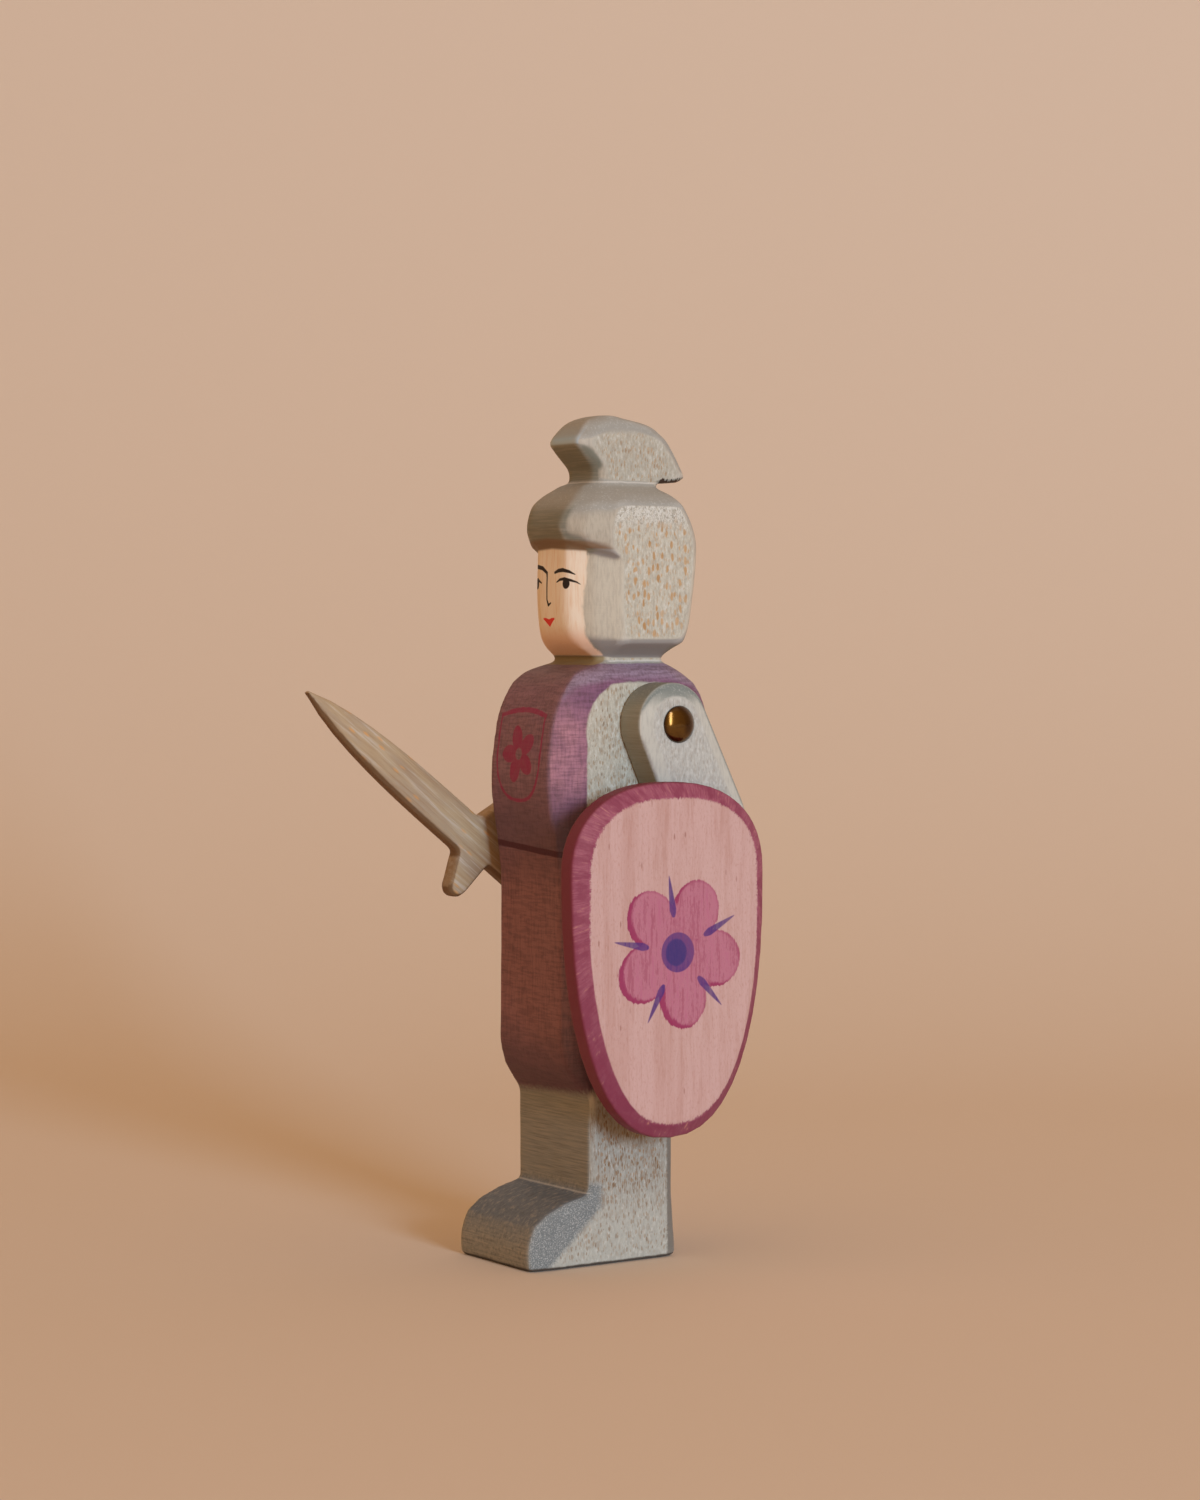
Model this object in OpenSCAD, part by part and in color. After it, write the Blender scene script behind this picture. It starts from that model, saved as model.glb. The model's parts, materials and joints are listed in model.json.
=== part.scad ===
// Carved wooden knight: a figure sawn from one plank, with two arms that turn on
// domed nails, a shield doweled to the left arm and a sword held in the right fist.
// Frame: +Z up, the face looks along -Y, the shield is on +X, and the origin lies
// on the floor under the middle of the plank. All sizes are in millimetres.

/* [Plank] */
// Thickness of the plank that the figure is sawn from, left to right
plank_t = 25.5; // [22:0.5:32]
// Height of the small bevel round the sole
sole_bevel = 0.5; // [0.3:0.1:1.5]
// How full the sanded corners are, from 0 for a flat bevel to 0.4 for a round
corner_fullness = 0.16; // [0:0.02:0.4]
// Largest distance between two rings of the carved surface
ring_step = 2.4; // [1.5:0.1:6]

/* [Feet and legs] */
// Reach of the toe ahead of the origin
toe_reach = 22.9; // [18:0.2:30]
// Height of the upright part of the toe
toe_h = 8.4; // [6:0.2:10]
// How far the toe leans back over its upright part
toe_lean = 1.5; // [0.5:0.1:4]
// Height of the instep, where the foot meets the shin
instep_h = 13.5; // [12:0.1:18]
// Reach of the shin ahead of the origin
shin_front = 9.4; // [7:0.2:12]
// Reach of the calf behind the origin
calf_back = 9.8; // [7:0.2:13]
// Height of the leg from the instep to the hem
leg_h = 17; // [12:0.2:30]
// How far the heel stands out behind the calf
heel_flare = 0.7; // [0:0.1:2]
// Width of the sanded edge at the front of the legs
leg_edge = 0.9; // [0.4:0.1:2]
// Sideways width of the sanded edge at the back of the legs
heel_edge_x = 0.8; // [0.3:0.1:2]
// Fore-and-aft width of the sanded edge at the back of the legs
heel_edge_y = 2.1; // [0.5:0.1:4]
// Sideways width of the sanded edge along the top of the foot
foot_edge_x = 0.6; // [0.3:0.1:1.5]
// Fore-and-aft width of the sanded edge along the top of the foot
foot_edge_y = 6; // [3:0.1:9]

/* [Tunic] */
// Height of the flare from the hem to the skirt
flare_h = 11; // [8:0.5:18]
// Reach of the skirt ahead of the origin
skirt_front = 14.8; // [12:0.2:20]
// Reach of the skirt behind the origin
skirt_back = 15.2; // [12:0.2:20]
// Height of the skirt from the flare to the belt
skirt_h = 36; // [28:0.5:50]
// Reach of the waist ahead of the origin, at the belt
waist_front = 15.5; // [12:0.2:20]
// Reach of the waist behind the origin, at the belt
waist_back = 14.8; // [11:0.2:20]
// Height of the trunk from the belt to the shoulder line
trunk_h = 24; // [20:0.5:36]
// Reach of the chest ahead of the origin
chest_front = 17.2; // [14:0.2:22]
// Reach of the shoulder blades behind the origin
blade_back = 19.4; // [15:0.2:24]
// Height of the rounded shoulders, from the shoulder line to the neck
shoulder_h = 11.6; // [9:0.2:16]
// Sideways width of the sanded edge at the chest
chest_edge_x = 2.9; // [1:0.1:5]
// Fore-and-aft width of the sanded edge at the chest
chest_edge_y = 6.4; // [3:0.1:9]

/* [Head] */
// Height of the slope on the shoulders, beside the neck
shoulder_slope = 4.2; // [2.5:0.1:6]
// Width of the sanded edge in the neck groove
neck_edge = 1.6; // [0.8:0.1:3]
// Half width of the neck groove
neck_half = 8.6; // [7:0.1:10]
// Reach of the neck ahead of the origin
neck_front = 4.1; // [2:0.1:7]
// Reach of the neck behind the origin
neck_back = 10.4; // [8:0.1:14]
// Height of the jaw, from the neck groove to the cheek
jaw_h = 7.6; // [6:0.2:10]
// Height of the face from the cheek to the brow
face_h = 14.1; // [10:0.1:18]
// Reach of the face ahead of the origin
face_front = 10; // [7:0.1:14]
// Width of the bevel from the face to the cheek guard
face_edge = 7.9; // [5:0.1:9]
// Height of the helmet from the brow to the crest
dome_h = 12.3; // [11:0.1:18]
// How far the visor stands out ahead of the face
visor_lip = 1.8; // [0.6:0.1:3.5]
// How far the visor's lower edge drops from the front to the side
visor_drop = 2.8; // [0:0.1:3.5]
// Reach of the helmet behind the origin
helmet_back = 15.9; // [12:0.1:20]
// Width of the sanded edge at the back of the helmet
helmet_edge = 1.6; // [0.6:0.1:4]

/* [Crest] */
// Half width of the crest
crest_half = 6.3; // [4:0.1:8]
// Height of the crest above the helmet
crest_h = 12.5; // [10:0.2:20]
// Reach of the crest's foot ahead of the origin
crest_foot_front = 3.0; // [1:0.1:6]
// Reach of the crest's foot behind the origin
crest_foot_back = 10.3; // [8:0.1:14]
// Reach of the crest's nose ahead of the origin
crest_nose = 7.4; // [5:0.1:10]
// Reach of the crest's tail behind the origin
crest_tail = 17.9; // [13:0.1:20]
// Distance from the origin back to the front end of the crest's ridge
ridge_front = -0.5; // [-2:0.1:2.2]
// Distance from the origin back to the rear end of the crest's ridge
ridge_back = 3; // [2.5:0.1:7]
// Slope of the tail's underside, from the crest's foot to the tail
tail_slope = 0.2; // [0.1:0.1:0.6]
// Width of the sanded edge on the crest
crest_edge = 1.6; // [0.6:0.1:3]

/* [Arms] */
// Thickness of the board that the arms are cut from
arm_t = 7.4; // [6:0.2:10]
// Distance of the shoulder pivot behind the origin
pivot_back = 5.3; // [2:0.1:9]
// Depth of the shoulder pivot below the neck groove
pivot_drop = 11.8; // [10:0.1:16]
// Length of the upper arm, from the pivot to the elbow
upper_arm = 20.5; // [16:0.5:28]
// Angle that the upper arm hangs back from straight down
upper_arm_back = 24; // [0:1:40]
// Length of the forearm, from the elbow to the fist
forearm = 22.5; // [18:0.5:30]
// Angle of the forearm below level, pointing ahead
forearm_down = 42.5; // [0:1:60]
// Radius of the rounded top of the arm
shoulder_r = 7.8; // [6.5:0.1:10]
// How far the middle of the rounded top lies ahead of the pivot
shoulder_ahead = 0.5; // [0:0.1:2]
// Radius of the elbow
elbow_r = 8.2; // [6:0.1:9]
// Radius of the fist
fist_r = 5.9; // [5:0.1:8]
// Width of the bevel round the outer face of the arm
arm_bevel_w = 3; // [1:0.1:3.5]
// Depth of the bevel round the outer face of the arm
arm_bevel_d = 1; // [0.3:0.1:2]
// Running gap between the arm and the side of the figure
arm_gap = 0.15; // [0.1:0.05:0.4]

/* [Nails] */
// Radius of the nail's shank
nail_r = 1.0; // [0.8:0.1:1.6]
// Depth of the shank in the plank
nail_bite = 9; // [6:0.5:10]
// Thickness of the nail's flat head
nail_head_t = 0.5; // [0.3:0.1:0.8]
// Radius of the domed cap
cap_r = 3.5; // [3:0.1:5]
// Height of the domed cap
cap_h = 1.8; // [1.4:0.1:2.8]
// Wall of the domed cap
cap_wall = 0.45; // [0.3:0.05:0.6]
// Running gap between the shank and the arm's bore
pin_gap = 0.06; // [0.02:0.02:0.1]
// Running gap between the cap and the arm's outer face
cap_gap = 0.1; // [0.05:0.05:0.4]

/* [Shield] */
// Height of the shield
shield_h = 66; // [50:1:80]
// Width of the shield at its widest
shield_w = 43.4; // [34:0.2:54]
// Thickness of the shield
shield_t = 6.2; // [5:0.2:9]
// Share of the height that lies below the widest line
shield_waist = 0.74; // [0.55:0.01:0.8]
// Squareness of the outline, where 2 is an ellipse
shield_square = 2.35; // [2:0.1:3.2]
// Width of the bevel round the shield's face
shield_bevel_w = 2.6; // [1:0.1:4]
// Depth of the bevel round the shield's face
shield_bevel_d = 2; // [1:0.1:3]
// Width of the small bevel round the shield's back
shield_back_bevel = 0.6; // [0.3:0.1:1.2]
// Height of the shield's top above the middle of the forearm
shield_rise = 15.8; // [10:0.2:24]
// How far the shield's middle lies ahead of the middle of the forearm
shield_ahead = 5.1; // [0:0.2:8]
// Lean of the shield, top towards the front
shield_lean = 0.5; // [0:0.5:8]
// Radius of the two dowels that hold the shield
dowel_r = 1.5; // [1:0.1:2]
// Depth of a dowel in the arm
dowel_in_arm = 4.5; // [3:0.1:5]
// Depth of a dowel in the shield
dowel_in_shield = 3.2; // [2:0.1:3.6]
// Distance between the two dowels, along the forearm
dowel_spacing = 13; // [8:0.5:16]
// Glue gap round a dowel or the sword's tang
glue_gap = 0.05; // [0.02:0.01:0.1]

/* [Sword] */
// Thickness of the board that the sword is cut from
sword_t = 4; // [3:0.1:5]
// Length of the blade, from the middle of the guard to the tip
blade_len = 47.8; // [36:0.5:60]
// Width of the blade
blade_w = 8; // [6:0.1:10]
// Length of the guard, from tip to tip
guard_len = 23; // [16:0.5:28]
// Width of the guard where it meets the blade
guard_w = 6; // [4.5:0.1:9]
// Width of the guard near its rounded tips
guard_tip_w = 3.7; // [3:0.1:5]
// How far the guard's tips sweep back towards the fist
guard_sweep = 0.5; // [0:0.1:2]
// Radius of the curve from the blade into the guard
guard_curve = 1.6; // [0.5:0.1:3]
// Length of the grip from the middle of the guard to the fist
grip_len = 10.5; // [6:0.1:14]
// Width of the grip
grip_w = 5.1; // [4:0.1:6]
// Thickness of the blade at its tip
tip_t = 2; // [1:0.1:3]
// Width of the sanded edge round the sword
sword_edge = 0.8; // [0.3:0.1:1]
// Angle of the blade above level, pointing ahead
sword_up = 38.5; // [0:0.5:70]
// Radius of the round tang that goes through the fist
tang_r = 1.8; // [1.4:0.1:2.2]
// How far the tang stands out behind the fist
tang_out = 2.4; // [1:0.1:6]

/* [Hidden] */
$fn = 64;
hull_fn = 40;

plank_half = plank_t / 2;
// Overlap of two shapes that become one, and how far a drill runs past a face
sliver = 0.01;
overcut = 1;

// Heights, stacked from the floor
z_instep = instep_h;
z_hem = z_instep + leg_h;
z_skirt = z_hem + flare_h;
z_belt = z_skirt + skirt_h;
z_line = z_belt + trunk_h;
z_neck = z_line + shoulder_h;
z_cheek = z_neck + jaw_h;
z_brow = z_cheek + face_h;
z_dome = z_brow + dome_h;
z_top = z_dome + crest_h;

// Share s of the way from a to b
function mix(a, b, s) = a + (b - a) * s;

// The profile of the plank, as [height, reach] points. The front reaches towards -Y.
front_line = [
    [0, toe_reach - sole_bevel * 1.6],
    [sole_bevel, toe_reach - sole_bevel * 0.4],
    [mix(0, toe_h, 0.4), toe_reach],
    [toe_h, toe_reach - toe_lean],
    [mix(toe_h, z_instep, 0.42), mix(toe_reach, shin_front, 0.32)],
    [mix(toe_h, z_instep, 0.8), mix(toe_reach, shin_front, 0.66)],
    [z_instep, shin_front],
    [z_hem, shin_front],
    [mix(z_hem, z_skirt, 0.22), mix(shin_front, skirt_front, 0.28)],
    [mix(z_hem, z_skirt, 0.5), mix(shin_front, skirt_front, 0.7)],
    [z_skirt, skirt_front],
    [mix(z_skirt, z_belt, 0.8), skirt_front],
    [z_belt, waist_front],
    [mix(z_belt, z_line, 0.55), chest_front],
    [z_line, mix(chest_front, neck_front, 0.09)],
    [mix(z_line, z_neck, 0.45), mix(chest_front, neck_front, 0.25)],
    [mix(z_line, z_neck, 0.8), mix(chest_front, neck_front, 0.51)],
    [mix(z_line, z_neck, 0.93), mix(chest_front, neck_front, 0.8)],
    [z_neck, neck_front],
    [mix(z_neck, z_cheek, 0.12), mix(neck_front, face_front, 0.16)],
    [mix(z_neck, z_cheek, 0.5), mix(neck_front, face_front, 0.77)],
    [z_cheek, mix(neck_front, face_front, 0.96)],
    [mix(z_cheek, z_brow, 0.45), face_front],
    [z_brow, mix(face_front, neck_front, 0.05)],
    [mix(z_brow, z_dome, 0.09), face_front + visor_lip * 0.55],
    [mix(z_brow, z_dome, 0.27), face_front + visor_lip],
    [mix(z_brow, z_dome, 0.5), face_front + visor_lip * 0.55],
    [mix(z_brow, z_dome, 0.77), mix(crest_foot_front, face_front, 0.74)],
    [mix(z_brow, z_dome, 0.94), mix(crest_foot_front, face_front, 0.28)],
    [z_dome, crest_foot_front],
    [mix(z_dome, z_top, 0.12), crest_foot_front],
    [mix(z_dome, z_top, 0.37), mix(crest_foot_front, crest_nose, 0.55)],
    [mix(z_dome, z_top, 0.55), crest_nose],
    [mix(z_dome, z_top, 0.66), mix(crest_nose, -ridge_front, 0.08)],
    [mix(z_dome, z_top, 0.86), mix(crest_nose, -ridge_front, 0.39)],
    [mix(z_dome, z_top, 0.93), mix(crest_nose, -ridge_front, 0.58)],
    [mix(z_dome, z_top, 0.98), mix(crest_nose, -ridge_front, 0.86)],
    [z_top, -ridge_front]
];
back_line = [
    [0, calf_back + heel_flare - sole_bevel],
    [sole_bevel, calf_back + heel_flare],
    [z_instep, calf_back],
    [z_hem, calf_back],
    [mix(z_hem, z_skirt, 0.3), mix(calf_back, skirt_back, 0.4)],
    [z_skirt, mix(calf_back, skirt_back, 0.93)],
    [mix(z_skirt, z_belt, 0.5), skirt_back],
    [z_belt, waist_back],
    [mix(z_belt, z_line, 0.7), mix(waist_back, blade_back, 0.84)],
    [z_line, blade_back],
    [mix(z_line, z_neck, 0.28), mix(blade_back, neck_back, 0.07)],
    [mix(z_line, z_neck, 0.64), mix(blade_back, neck_back, 0.34)],
    [mix(z_line, z_neck, 0.9), mix(blade_back, neck_back, 0.76)],
    [z_neck, neck_back],
    [mix(z_neck, z_cheek, 0.1), neck_back],
    [mix(z_neck, z_cheek, 0.5), mix(neck_back, helmet_back, 0.51)],
    [z_cheek, mix(neck_back, helmet_back, 0.72)],
    [z_brow, helmet_back],
    [mix(z_brow, z_dome, 0.27), mix(helmet_back, crest_foot_back, 0.12)],
    [mix(z_brow, z_dome, 0.57), mix(helmet_back, crest_foot_back, 0.47)],
    [mix(z_brow, z_dome, 0.8), mix(helmet_back, crest_foot_back, 0.76)],
    [mix(z_brow, z_dome, 0.93), crest_foot_back],
    [z_dome - tail_slope, crest_foot_back],
    [z_dome, mix(crest_foot_back, crest_tail, 0.75)],
    [mix(z_dome, z_top, 0.07), crest_tail],
    [mix(z_dome, z_top, 0.2), mix(crest_tail, ridge_back, 0.05)],
    [mix(z_dome, z_top, 0.66), mix(crest_tail, ridge_back, 0.3)],
    [mix(z_dome, z_top, 0.82), mix(crest_tail, ridge_back, 0.46)],
    [mix(z_dome, z_top, 0.9), mix(crest_tail, ridge_back, 0.63)],
    [mix(z_dome, z_top, 0.96), mix(crest_tail, ridge_back, 0.87)],
    [z_top, ridge_back]
];
// Half of the width from left to right
side_line = [
    [0, plank_half - sole_bevel],
    [sole_bevel, plank_half],
    [z_neck - shoulder_slope, plank_half],
    [z_neck - shoulder_slope * 0.38, mix(neck_half, plank_half, 0.62)],
    [z_neck, neck_half],
    [mix(z_neck, z_cheek, 0.08), neck_half],
    [mix(z_neck, z_cheek, 0.46), mix(neck_half, plank_half, 0.97)],
    [z_cheek, plank_half],
    [mix(z_brow, z_dome, 0.64), plank_half],
    [mix(z_brow, z_dome, 0.8), mix(crest_half, plank_half, 0.6)],
    [mix(z_brow, z_dome, 0.93), mix(crest_half, plank_half, 0.05)],
    [z_dome, crest_half],
    [mix(z_dome, z_top, 0.62), crest_half],
    [mix(z_dome, z_top, 0.85), crest_half * 0.88],
    [z_top, crest_half * 0.62]
];
// Sanded edges, as [height, sideways width, fore-and-aft width]
front_edge = [
    [0, foot_edge_x, foot_edge_y * 0.7],
    [mix(0, toe_h, 0.5), foot_edge_x, foot_edge_y * 0.9],
    [toe_h, foot_edge_x, foot_edge_y * 1.2],
    [mix(toe_h, z_instep, 0.6), foot_edge_x, foot_edge_y * 1.1],
    [z_instep, leg_edge, leg_edge * 3],
    [mix(z_instep, z_hem, 0.3), leg_edge, leg_edge],
    [z_hem, leg_edge, leg_edge],
    [z_skirt, chest_edge_x * 0.75, chest_edge_y * 0.6],
    [z_belt, chest_edge_x * 0.9, chest_edge_y * 0.85],
    [z_line, chest_edge_x, chest_edge_y],
    [mix(z_line, z_neck, 0.83), chest_edge_x, chest_edge_y * 0.8],
    [z_neck, neck_edge, neck_edge],
    [mix(z_neck, z_cheek, 0.5), face_edge * 0.9, face_edge * 0.9],
    [z_cheek, face_edge, face_edge],
    [z_brow, face_edge, face_edge],
    [mix(z_brow, z_dome, 0.1), face_edge * 0.86, face_edge * 0.92],
    [mix(z_brow, z_dome, 0.4), face_edge * 0.86, face_edge * 0.92],
    [mix(z_brow, z_dome, 0.77), face_edge * 0.62, face_edge * 0.95],
    [mix(z_brow, z_dome, 0.93), crest_edge * 1.4, crest_edge * 2.6],
    [z_dome, crest_edge * 1.6, crest_edge],
    [mix(z_dome, z_top, 0.5), crest_edge, crest_edge * 1.6],
    [z_top, crest_edge, crest_edge * 2.2]
];
back_edge = [
    [0, heel_edge_x, heel_edge_y],
    [z_hem, heel_edge_x, heel_edge_y],
    [z_skirt, chest_edge_x * 0.75, chest_edge_y * 0.6],
    [z_line, chest_edge_x, chest_edge_y * 0.9],
    [mix(z_line, z_neck, 0.83), chest_edge_x, chest_edge_y * 0.7],
    [z_neck, neck_edge, neck_edge],
    [mix(z_neck, z_cheek, 0.5), helmet_edge, helmet_edge],
    [mix(z_brow, z_dome, 0.4), helmet_edge, helmet_edge],
    [mix(z_brow, z_dome, 0.93), crest_edge * 1.2, crest_edge * 1.2],
    [z_top, crest_edge, crest_edge * 2]
];

// How far the rings sink from the front to the side, as [height, drop], and the share of it
// that each point of a ring sinks
visor_line = [
    [z_cheek, 0],
    [z_brow, visor_drop],
    [mix(z_brow, z_dome, 0.1), visor_drop],
    [mix(z_brow, z_dome, 0.6), 0]
];
sink_share = [0, 0.5, 1, 0, 0, 0, 0, 0, 0, 1, 0.5, 0];

// Places of the pivot, elbow and fist in the side view, as [Y, Z]
pivot_z = z_neck - pivot_drop;
pivot_at = [pivot_back, pivot_z];
arm_top_at = pivot_at - [shoulder_ahead, 0];
elbow_at = pivot_at + upper_arm * [sin(upper_arm_back), -cos(upper_arm_back)];
fist_at = elbow_at + forearm * [-cos(forearm_down), -sin(forearm_down)];
forearm_mid = (elbow_at + fist_at) / 2;
forearm_way = (fist_at - elbow_at) / forearm;

// Distances from the middle of the plank to the arm's two faces
arm_in = plank_half + arm_gap;
arm_out = arm_in + arm_t;

// The nail's cap is a slice of a hollow ball
cap_ball = (cap_r * cap_r + cap_h * cap_h) / (2 * cap_h);
cap_seat = cap_ball - cap_h;
nail_head_r = sqrt(pow(cap_ball - cap_wall, 2) - pow(cap_seat + nail_head_t, 2)) - glue_gap;

// Middle of the shield in the side view
shield_at = forearm_mid + [-shield_ahead, shield_rise - shield_h / 2];
dowel_at = [for (s = [-1, 1]) forearm_mid + s * dowel_spacing / 2 * forearm_way];

// Half width of the blade's very tip, length of the step from the guard's back to the grip,
// and how far the tang's root reaches into the grip
tip_half = 0.3;
grip_shoulder = 0.3;
tang_root = 1;

// Counts of points along a curve
blade_steps = 9;
round_steps = 5;
curve_steps = 3;
shield_steps = 48;

// Value at height z of a smooth curve through [height, value] points that never overshoots
function rise(t, i, c) = (t[i + 1][c] - t[i][c]) / (t[i + 1][0] - t[i][0]);
function tangent(t, i, c) =
    i == 0 ? rise(t, 0, c)
    : i == len(t) - 1 ? rise(t, i - 1, c)
    : let (a = rise(t, i - 1, c), b = rise(t, i, c)) a * b <= 0 ? 0 : 2 * a * b / (a + b);
function curve(t, z, c = 1) =
    let (
        i = max([for (k = [0 : len(t) - 2]) if (z >= t[k][0] || k == 0) k]),
        h = t[i + 1][0] - t[i][0],
        s = (z - t[i][0]) / h,
        a = tangent(t, i, c) * h,
        b = tangent(t, i + 1, c) * h
    )
    t[i][c] * (1 + 2 * s) * pow(1 - s, 2) + a * s * pow(1 - s, 2)
    + t[i + 1][c] * s * s * (3 - 2 * s) - b * s * s * (1 - s);

// Heights of the rings: every height that a line names, and steps between them
function sorted(v) =
    len(v) < 2 ? v
    : let (p = v[floor(len(v) / 2)])
      concat(sorted([for (x = v) if (x < p) x]), [p], sorted([for (x = v) if (x > p) x]));
least_step = 0.35;
named_heights = sorted([for (t = [front_line, back_line, side_line]) for (p = t) p[0]]);
function spaced(v, i = 0, last = -1) =
    i == len(v) ? []
    : v[i] - last < least_step && abs(v[i] - z_dome) > sliver && i < len(v) - 1
      ? spaced(v, i + 1, last)
      : concat([v[i]], spaced(v, i + 1, v[i]));
key_heights = spaced(named_heights);
ring_heights = concat(
    [for (i = [0 : len(key_heights) - 2])
        let (gap = key_heights[i + 1] - key_heights[i], n = ceil(gap / ring_step))
        for (k = [0 : n - 1]) key_heights[i] + gap * k / n],
    [z_top]
);

// Three points round one sanded corner, from the front or back face to the side or the other way
function corner(x, y, from, to) =
    let (mid = (from + to) / 2) [from, mid + corner_fullness * ([x, y] - mid), to];
function ring(z) =
    let (
        f = -curve(front_line, z),
        b = curve(back_line, z),
        w = curve(side_line, z),
        room = (b - f) * 0.46,
        fx = min(curve(front_edge, z, 1), w * 0.8),
        fy = min(curve(front_edge, z, 2), room),
        bx = min(curve(back_edge, z, 1), w * 0.8),
        by = min(curve(back_edge, z, 2), room),
        held = max(z_cheek, min(z, visor_line[len(visor_line) - 1][0])),
        sink = curve(visor_line, held),
        flat = concat(
            corner(w, f, [w - fx, f], [w, f + fy]),
            corner(w, b, [w, b - by], [w - bx, b]),
            corner(-w, b, [bx - w, b], [-w, b - by]),
            corner(-w, f, [-w, f + fy], [fx - w, f])
        )
    )
    [for (i = [0 : len(flat) - 1]) [flat[i].x, flat[i].y, z - sink * sink_share[i]]];

// A closed solid through rings of as many points each, counter-clockwise seen from above
module loft(rings) {
    n = len(rings[0]);
    top = (len(rings) - 1) * n;
    polyhedron(
        points = [for (r = rings) for (p = r) p],
        faces = concat(
            [[for (j = [0 : n - 1]) j]],
            [[for (j = [n - 1 : -1 : 0]) top + j]],
            [for (i = [0 : len(rings) - 2]) for (j = [0 : n - 1])
                let (k = (j + 1) % n) [i * n + j, (i + 1) * n + j, (i + 1) * n + k]],
            [for (i = [0 : len(rings) - 2]) for (j = [0 : n - 1])
                let (k = (j + 1) % n) [i * n + j, (i + 1) * n + k, i * n + k]]
        )
    );
}

// Stands a shape drawn flat as [Y, Z] upright, with its thickness along +X
module upright() { rotate([90, 0, 90]) children(); }

// Puts a piece of the left side on the right side
module right_side() { mirror([1, 0, 0]) children(); }

// An outline moved inwards by d along its own corners, which run counter-clockwise
function unit(v) = v / norm(v);
function inset(path, d) =
    [for (i = [0 : len(path) - 1])
        let (
            n = len(path),
            a = unit(path[i] - path[(i + n - 1) % n]),
            b = unit(path[(i + 1) % n] - path[i]),
            way = unit([-a.y - b.y, a.x + b.x])
        )
        path[i] + way * d / max(0.5, way * [-a.y, a.x])];
function level(path, z) = [for (p = path) [p.x, p.y, z]];

// Body: feet, legs, tunic, head, helmet and crest from one plank
module body() {
    color("thistle")
    difference() {
        loft([for (z = ring_heights) ring(z)]);
        for (side = [0, 1])
            mirror([side, 0, 0]) nail_hole(plank_half - nail_bite, nail_r, nail_bite + overcut);
    }
}

// A round hole along the shoulder's axis, from x outwards
module nail_hole(x, r, len) {
    translate([x, pivot_at.x, pivot_at.y]) rotate([0, 90, 0]) cylinder(h = len, r = r);
}

// Arms: a bent board with a bevel round its outer face and a bore for the nail
module arm_disc(at, r) {
    translate(at) {
        cylinder(h = arm_t - arm_bevel_d, r = r, $fn = hull_fn);
        translate([0, 0, arm_t - arm_bevel_d - sliver])
            cylinder(h = arm_bevel_d + sliver, r1 = r, r2 = r - arm_bevel_w, $fn = hull_fn);
    }
}
module arm_blank() {
    difference() {
        translate([arm_in, 0, 0]) upright() {
            hull() {
                arm_disc(arm_top_at, shoulder_r);
                arm_disc(elbow_at, elbow_r);
            }
            hull() {
                arm_disc(elbow_at, elbow_r);
                arm_disc(fist_at, fist_r);
            }
        }
        nail_hole(arm_in - overcut, nail_r + pin_gap, arm_t + 2 * overcut);
    }
}
module left_arm() {
    color("gainsboro")
    difference() {
        arm_blank();
        dowels(dowel_r + glue_gap, dowel_in_arm + glue_gap, sliver);
    }
}
module right_arm() {
    color("gainsboro")
    difference() {
        right_side() arm_blank();
        sword_place() cylinder(h = 4 * fist_r, r = tang_r + glue_gap, center = true);
    }
}

// Nails: a shank with a flat head, under a hollow domed cap
module nail_axis() {
    translate([arm_out + cap_gap, pivot_at.x, pivot_at.y]) rotate([0, 90, 0]) children();
}
module nail() {
    shank = cap_gap + arm_t + arm_gap + nail_bite;
    nail_axis() {
        translate([0, 0, -shank]) cylinder(h = shank, r = nail_r);
        cylinder(h = nail_head_t, r = nail_head_r);
    }
}
module nail_cap() {
    nail_axis() difference() {
        intersection() {
            translate([0, 0, -cap_seat]) sphere(r = cap_ball);
            cylinder(h = 2 * cap_h, r = 2 * cap_r);
        }
        translate([0, 0, -cap_seat]) sphere(r = cap_ball - cap_wall);
    }
}
module left_nail() { color("silver") nail(); }
module right_nail() { color("silver") right_side() nail(); }
module left_nail_cap() { color("goldenrod") nail_cap(); }
module right_nail_cap() { color("goldenrod") right_side() nail_cap(); }

// Shield: a board with an egg-shaped outline and a broad bevel round its face
function shield_outline() =
    [for (i = [0 : shield_steps - 1])
        let (
            a = 360 * i / shield_steps,
            c = cos(a),
            s = sin(a),
            up = shield_h * (s > 0 ? 1 - shield_waist : shield_waist)
        )
        [
            shield_w / 2 * sign(c) * pow(abs(c), 2 / shield_square),
            shield_h * (shield_waist - 0.5) + up * sign(s) * pow(abs(s), 2 / shield_square)
        ]];
module shield() {
    edge = shield_outline();
    color("pink")
    difference() {
        translate([arm_out, shield_at.x, shield_at.y]) upright() rotate(shield_lean) loft([
            level(inset(edge, shield_back_bevel), 0),
            level(edge, shield_back_bevel),
            level(edge, shield_t - shield_bevel_d),
            level(inset(edge, shield_bevel_w), shield_t)
        ]);
        dowels(dowel_r + glue_gap, sliver, dowel_in_shield + glue_gap);
    }
}

// Dowels between the left forearm and the shield
module dowels(r, depth_in, depth_out) {
    for (at = dowel_at) translate([arm_out - depth_in, at.x, at.y])
        rotate([0, 90, 0]) cylinder(h = depth_in + depth_out, r = r);
}
module shield_dowels() { color("burlywood") dowels(dowel_r, dowel_in_arm, dowel_in_shield); }

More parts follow.
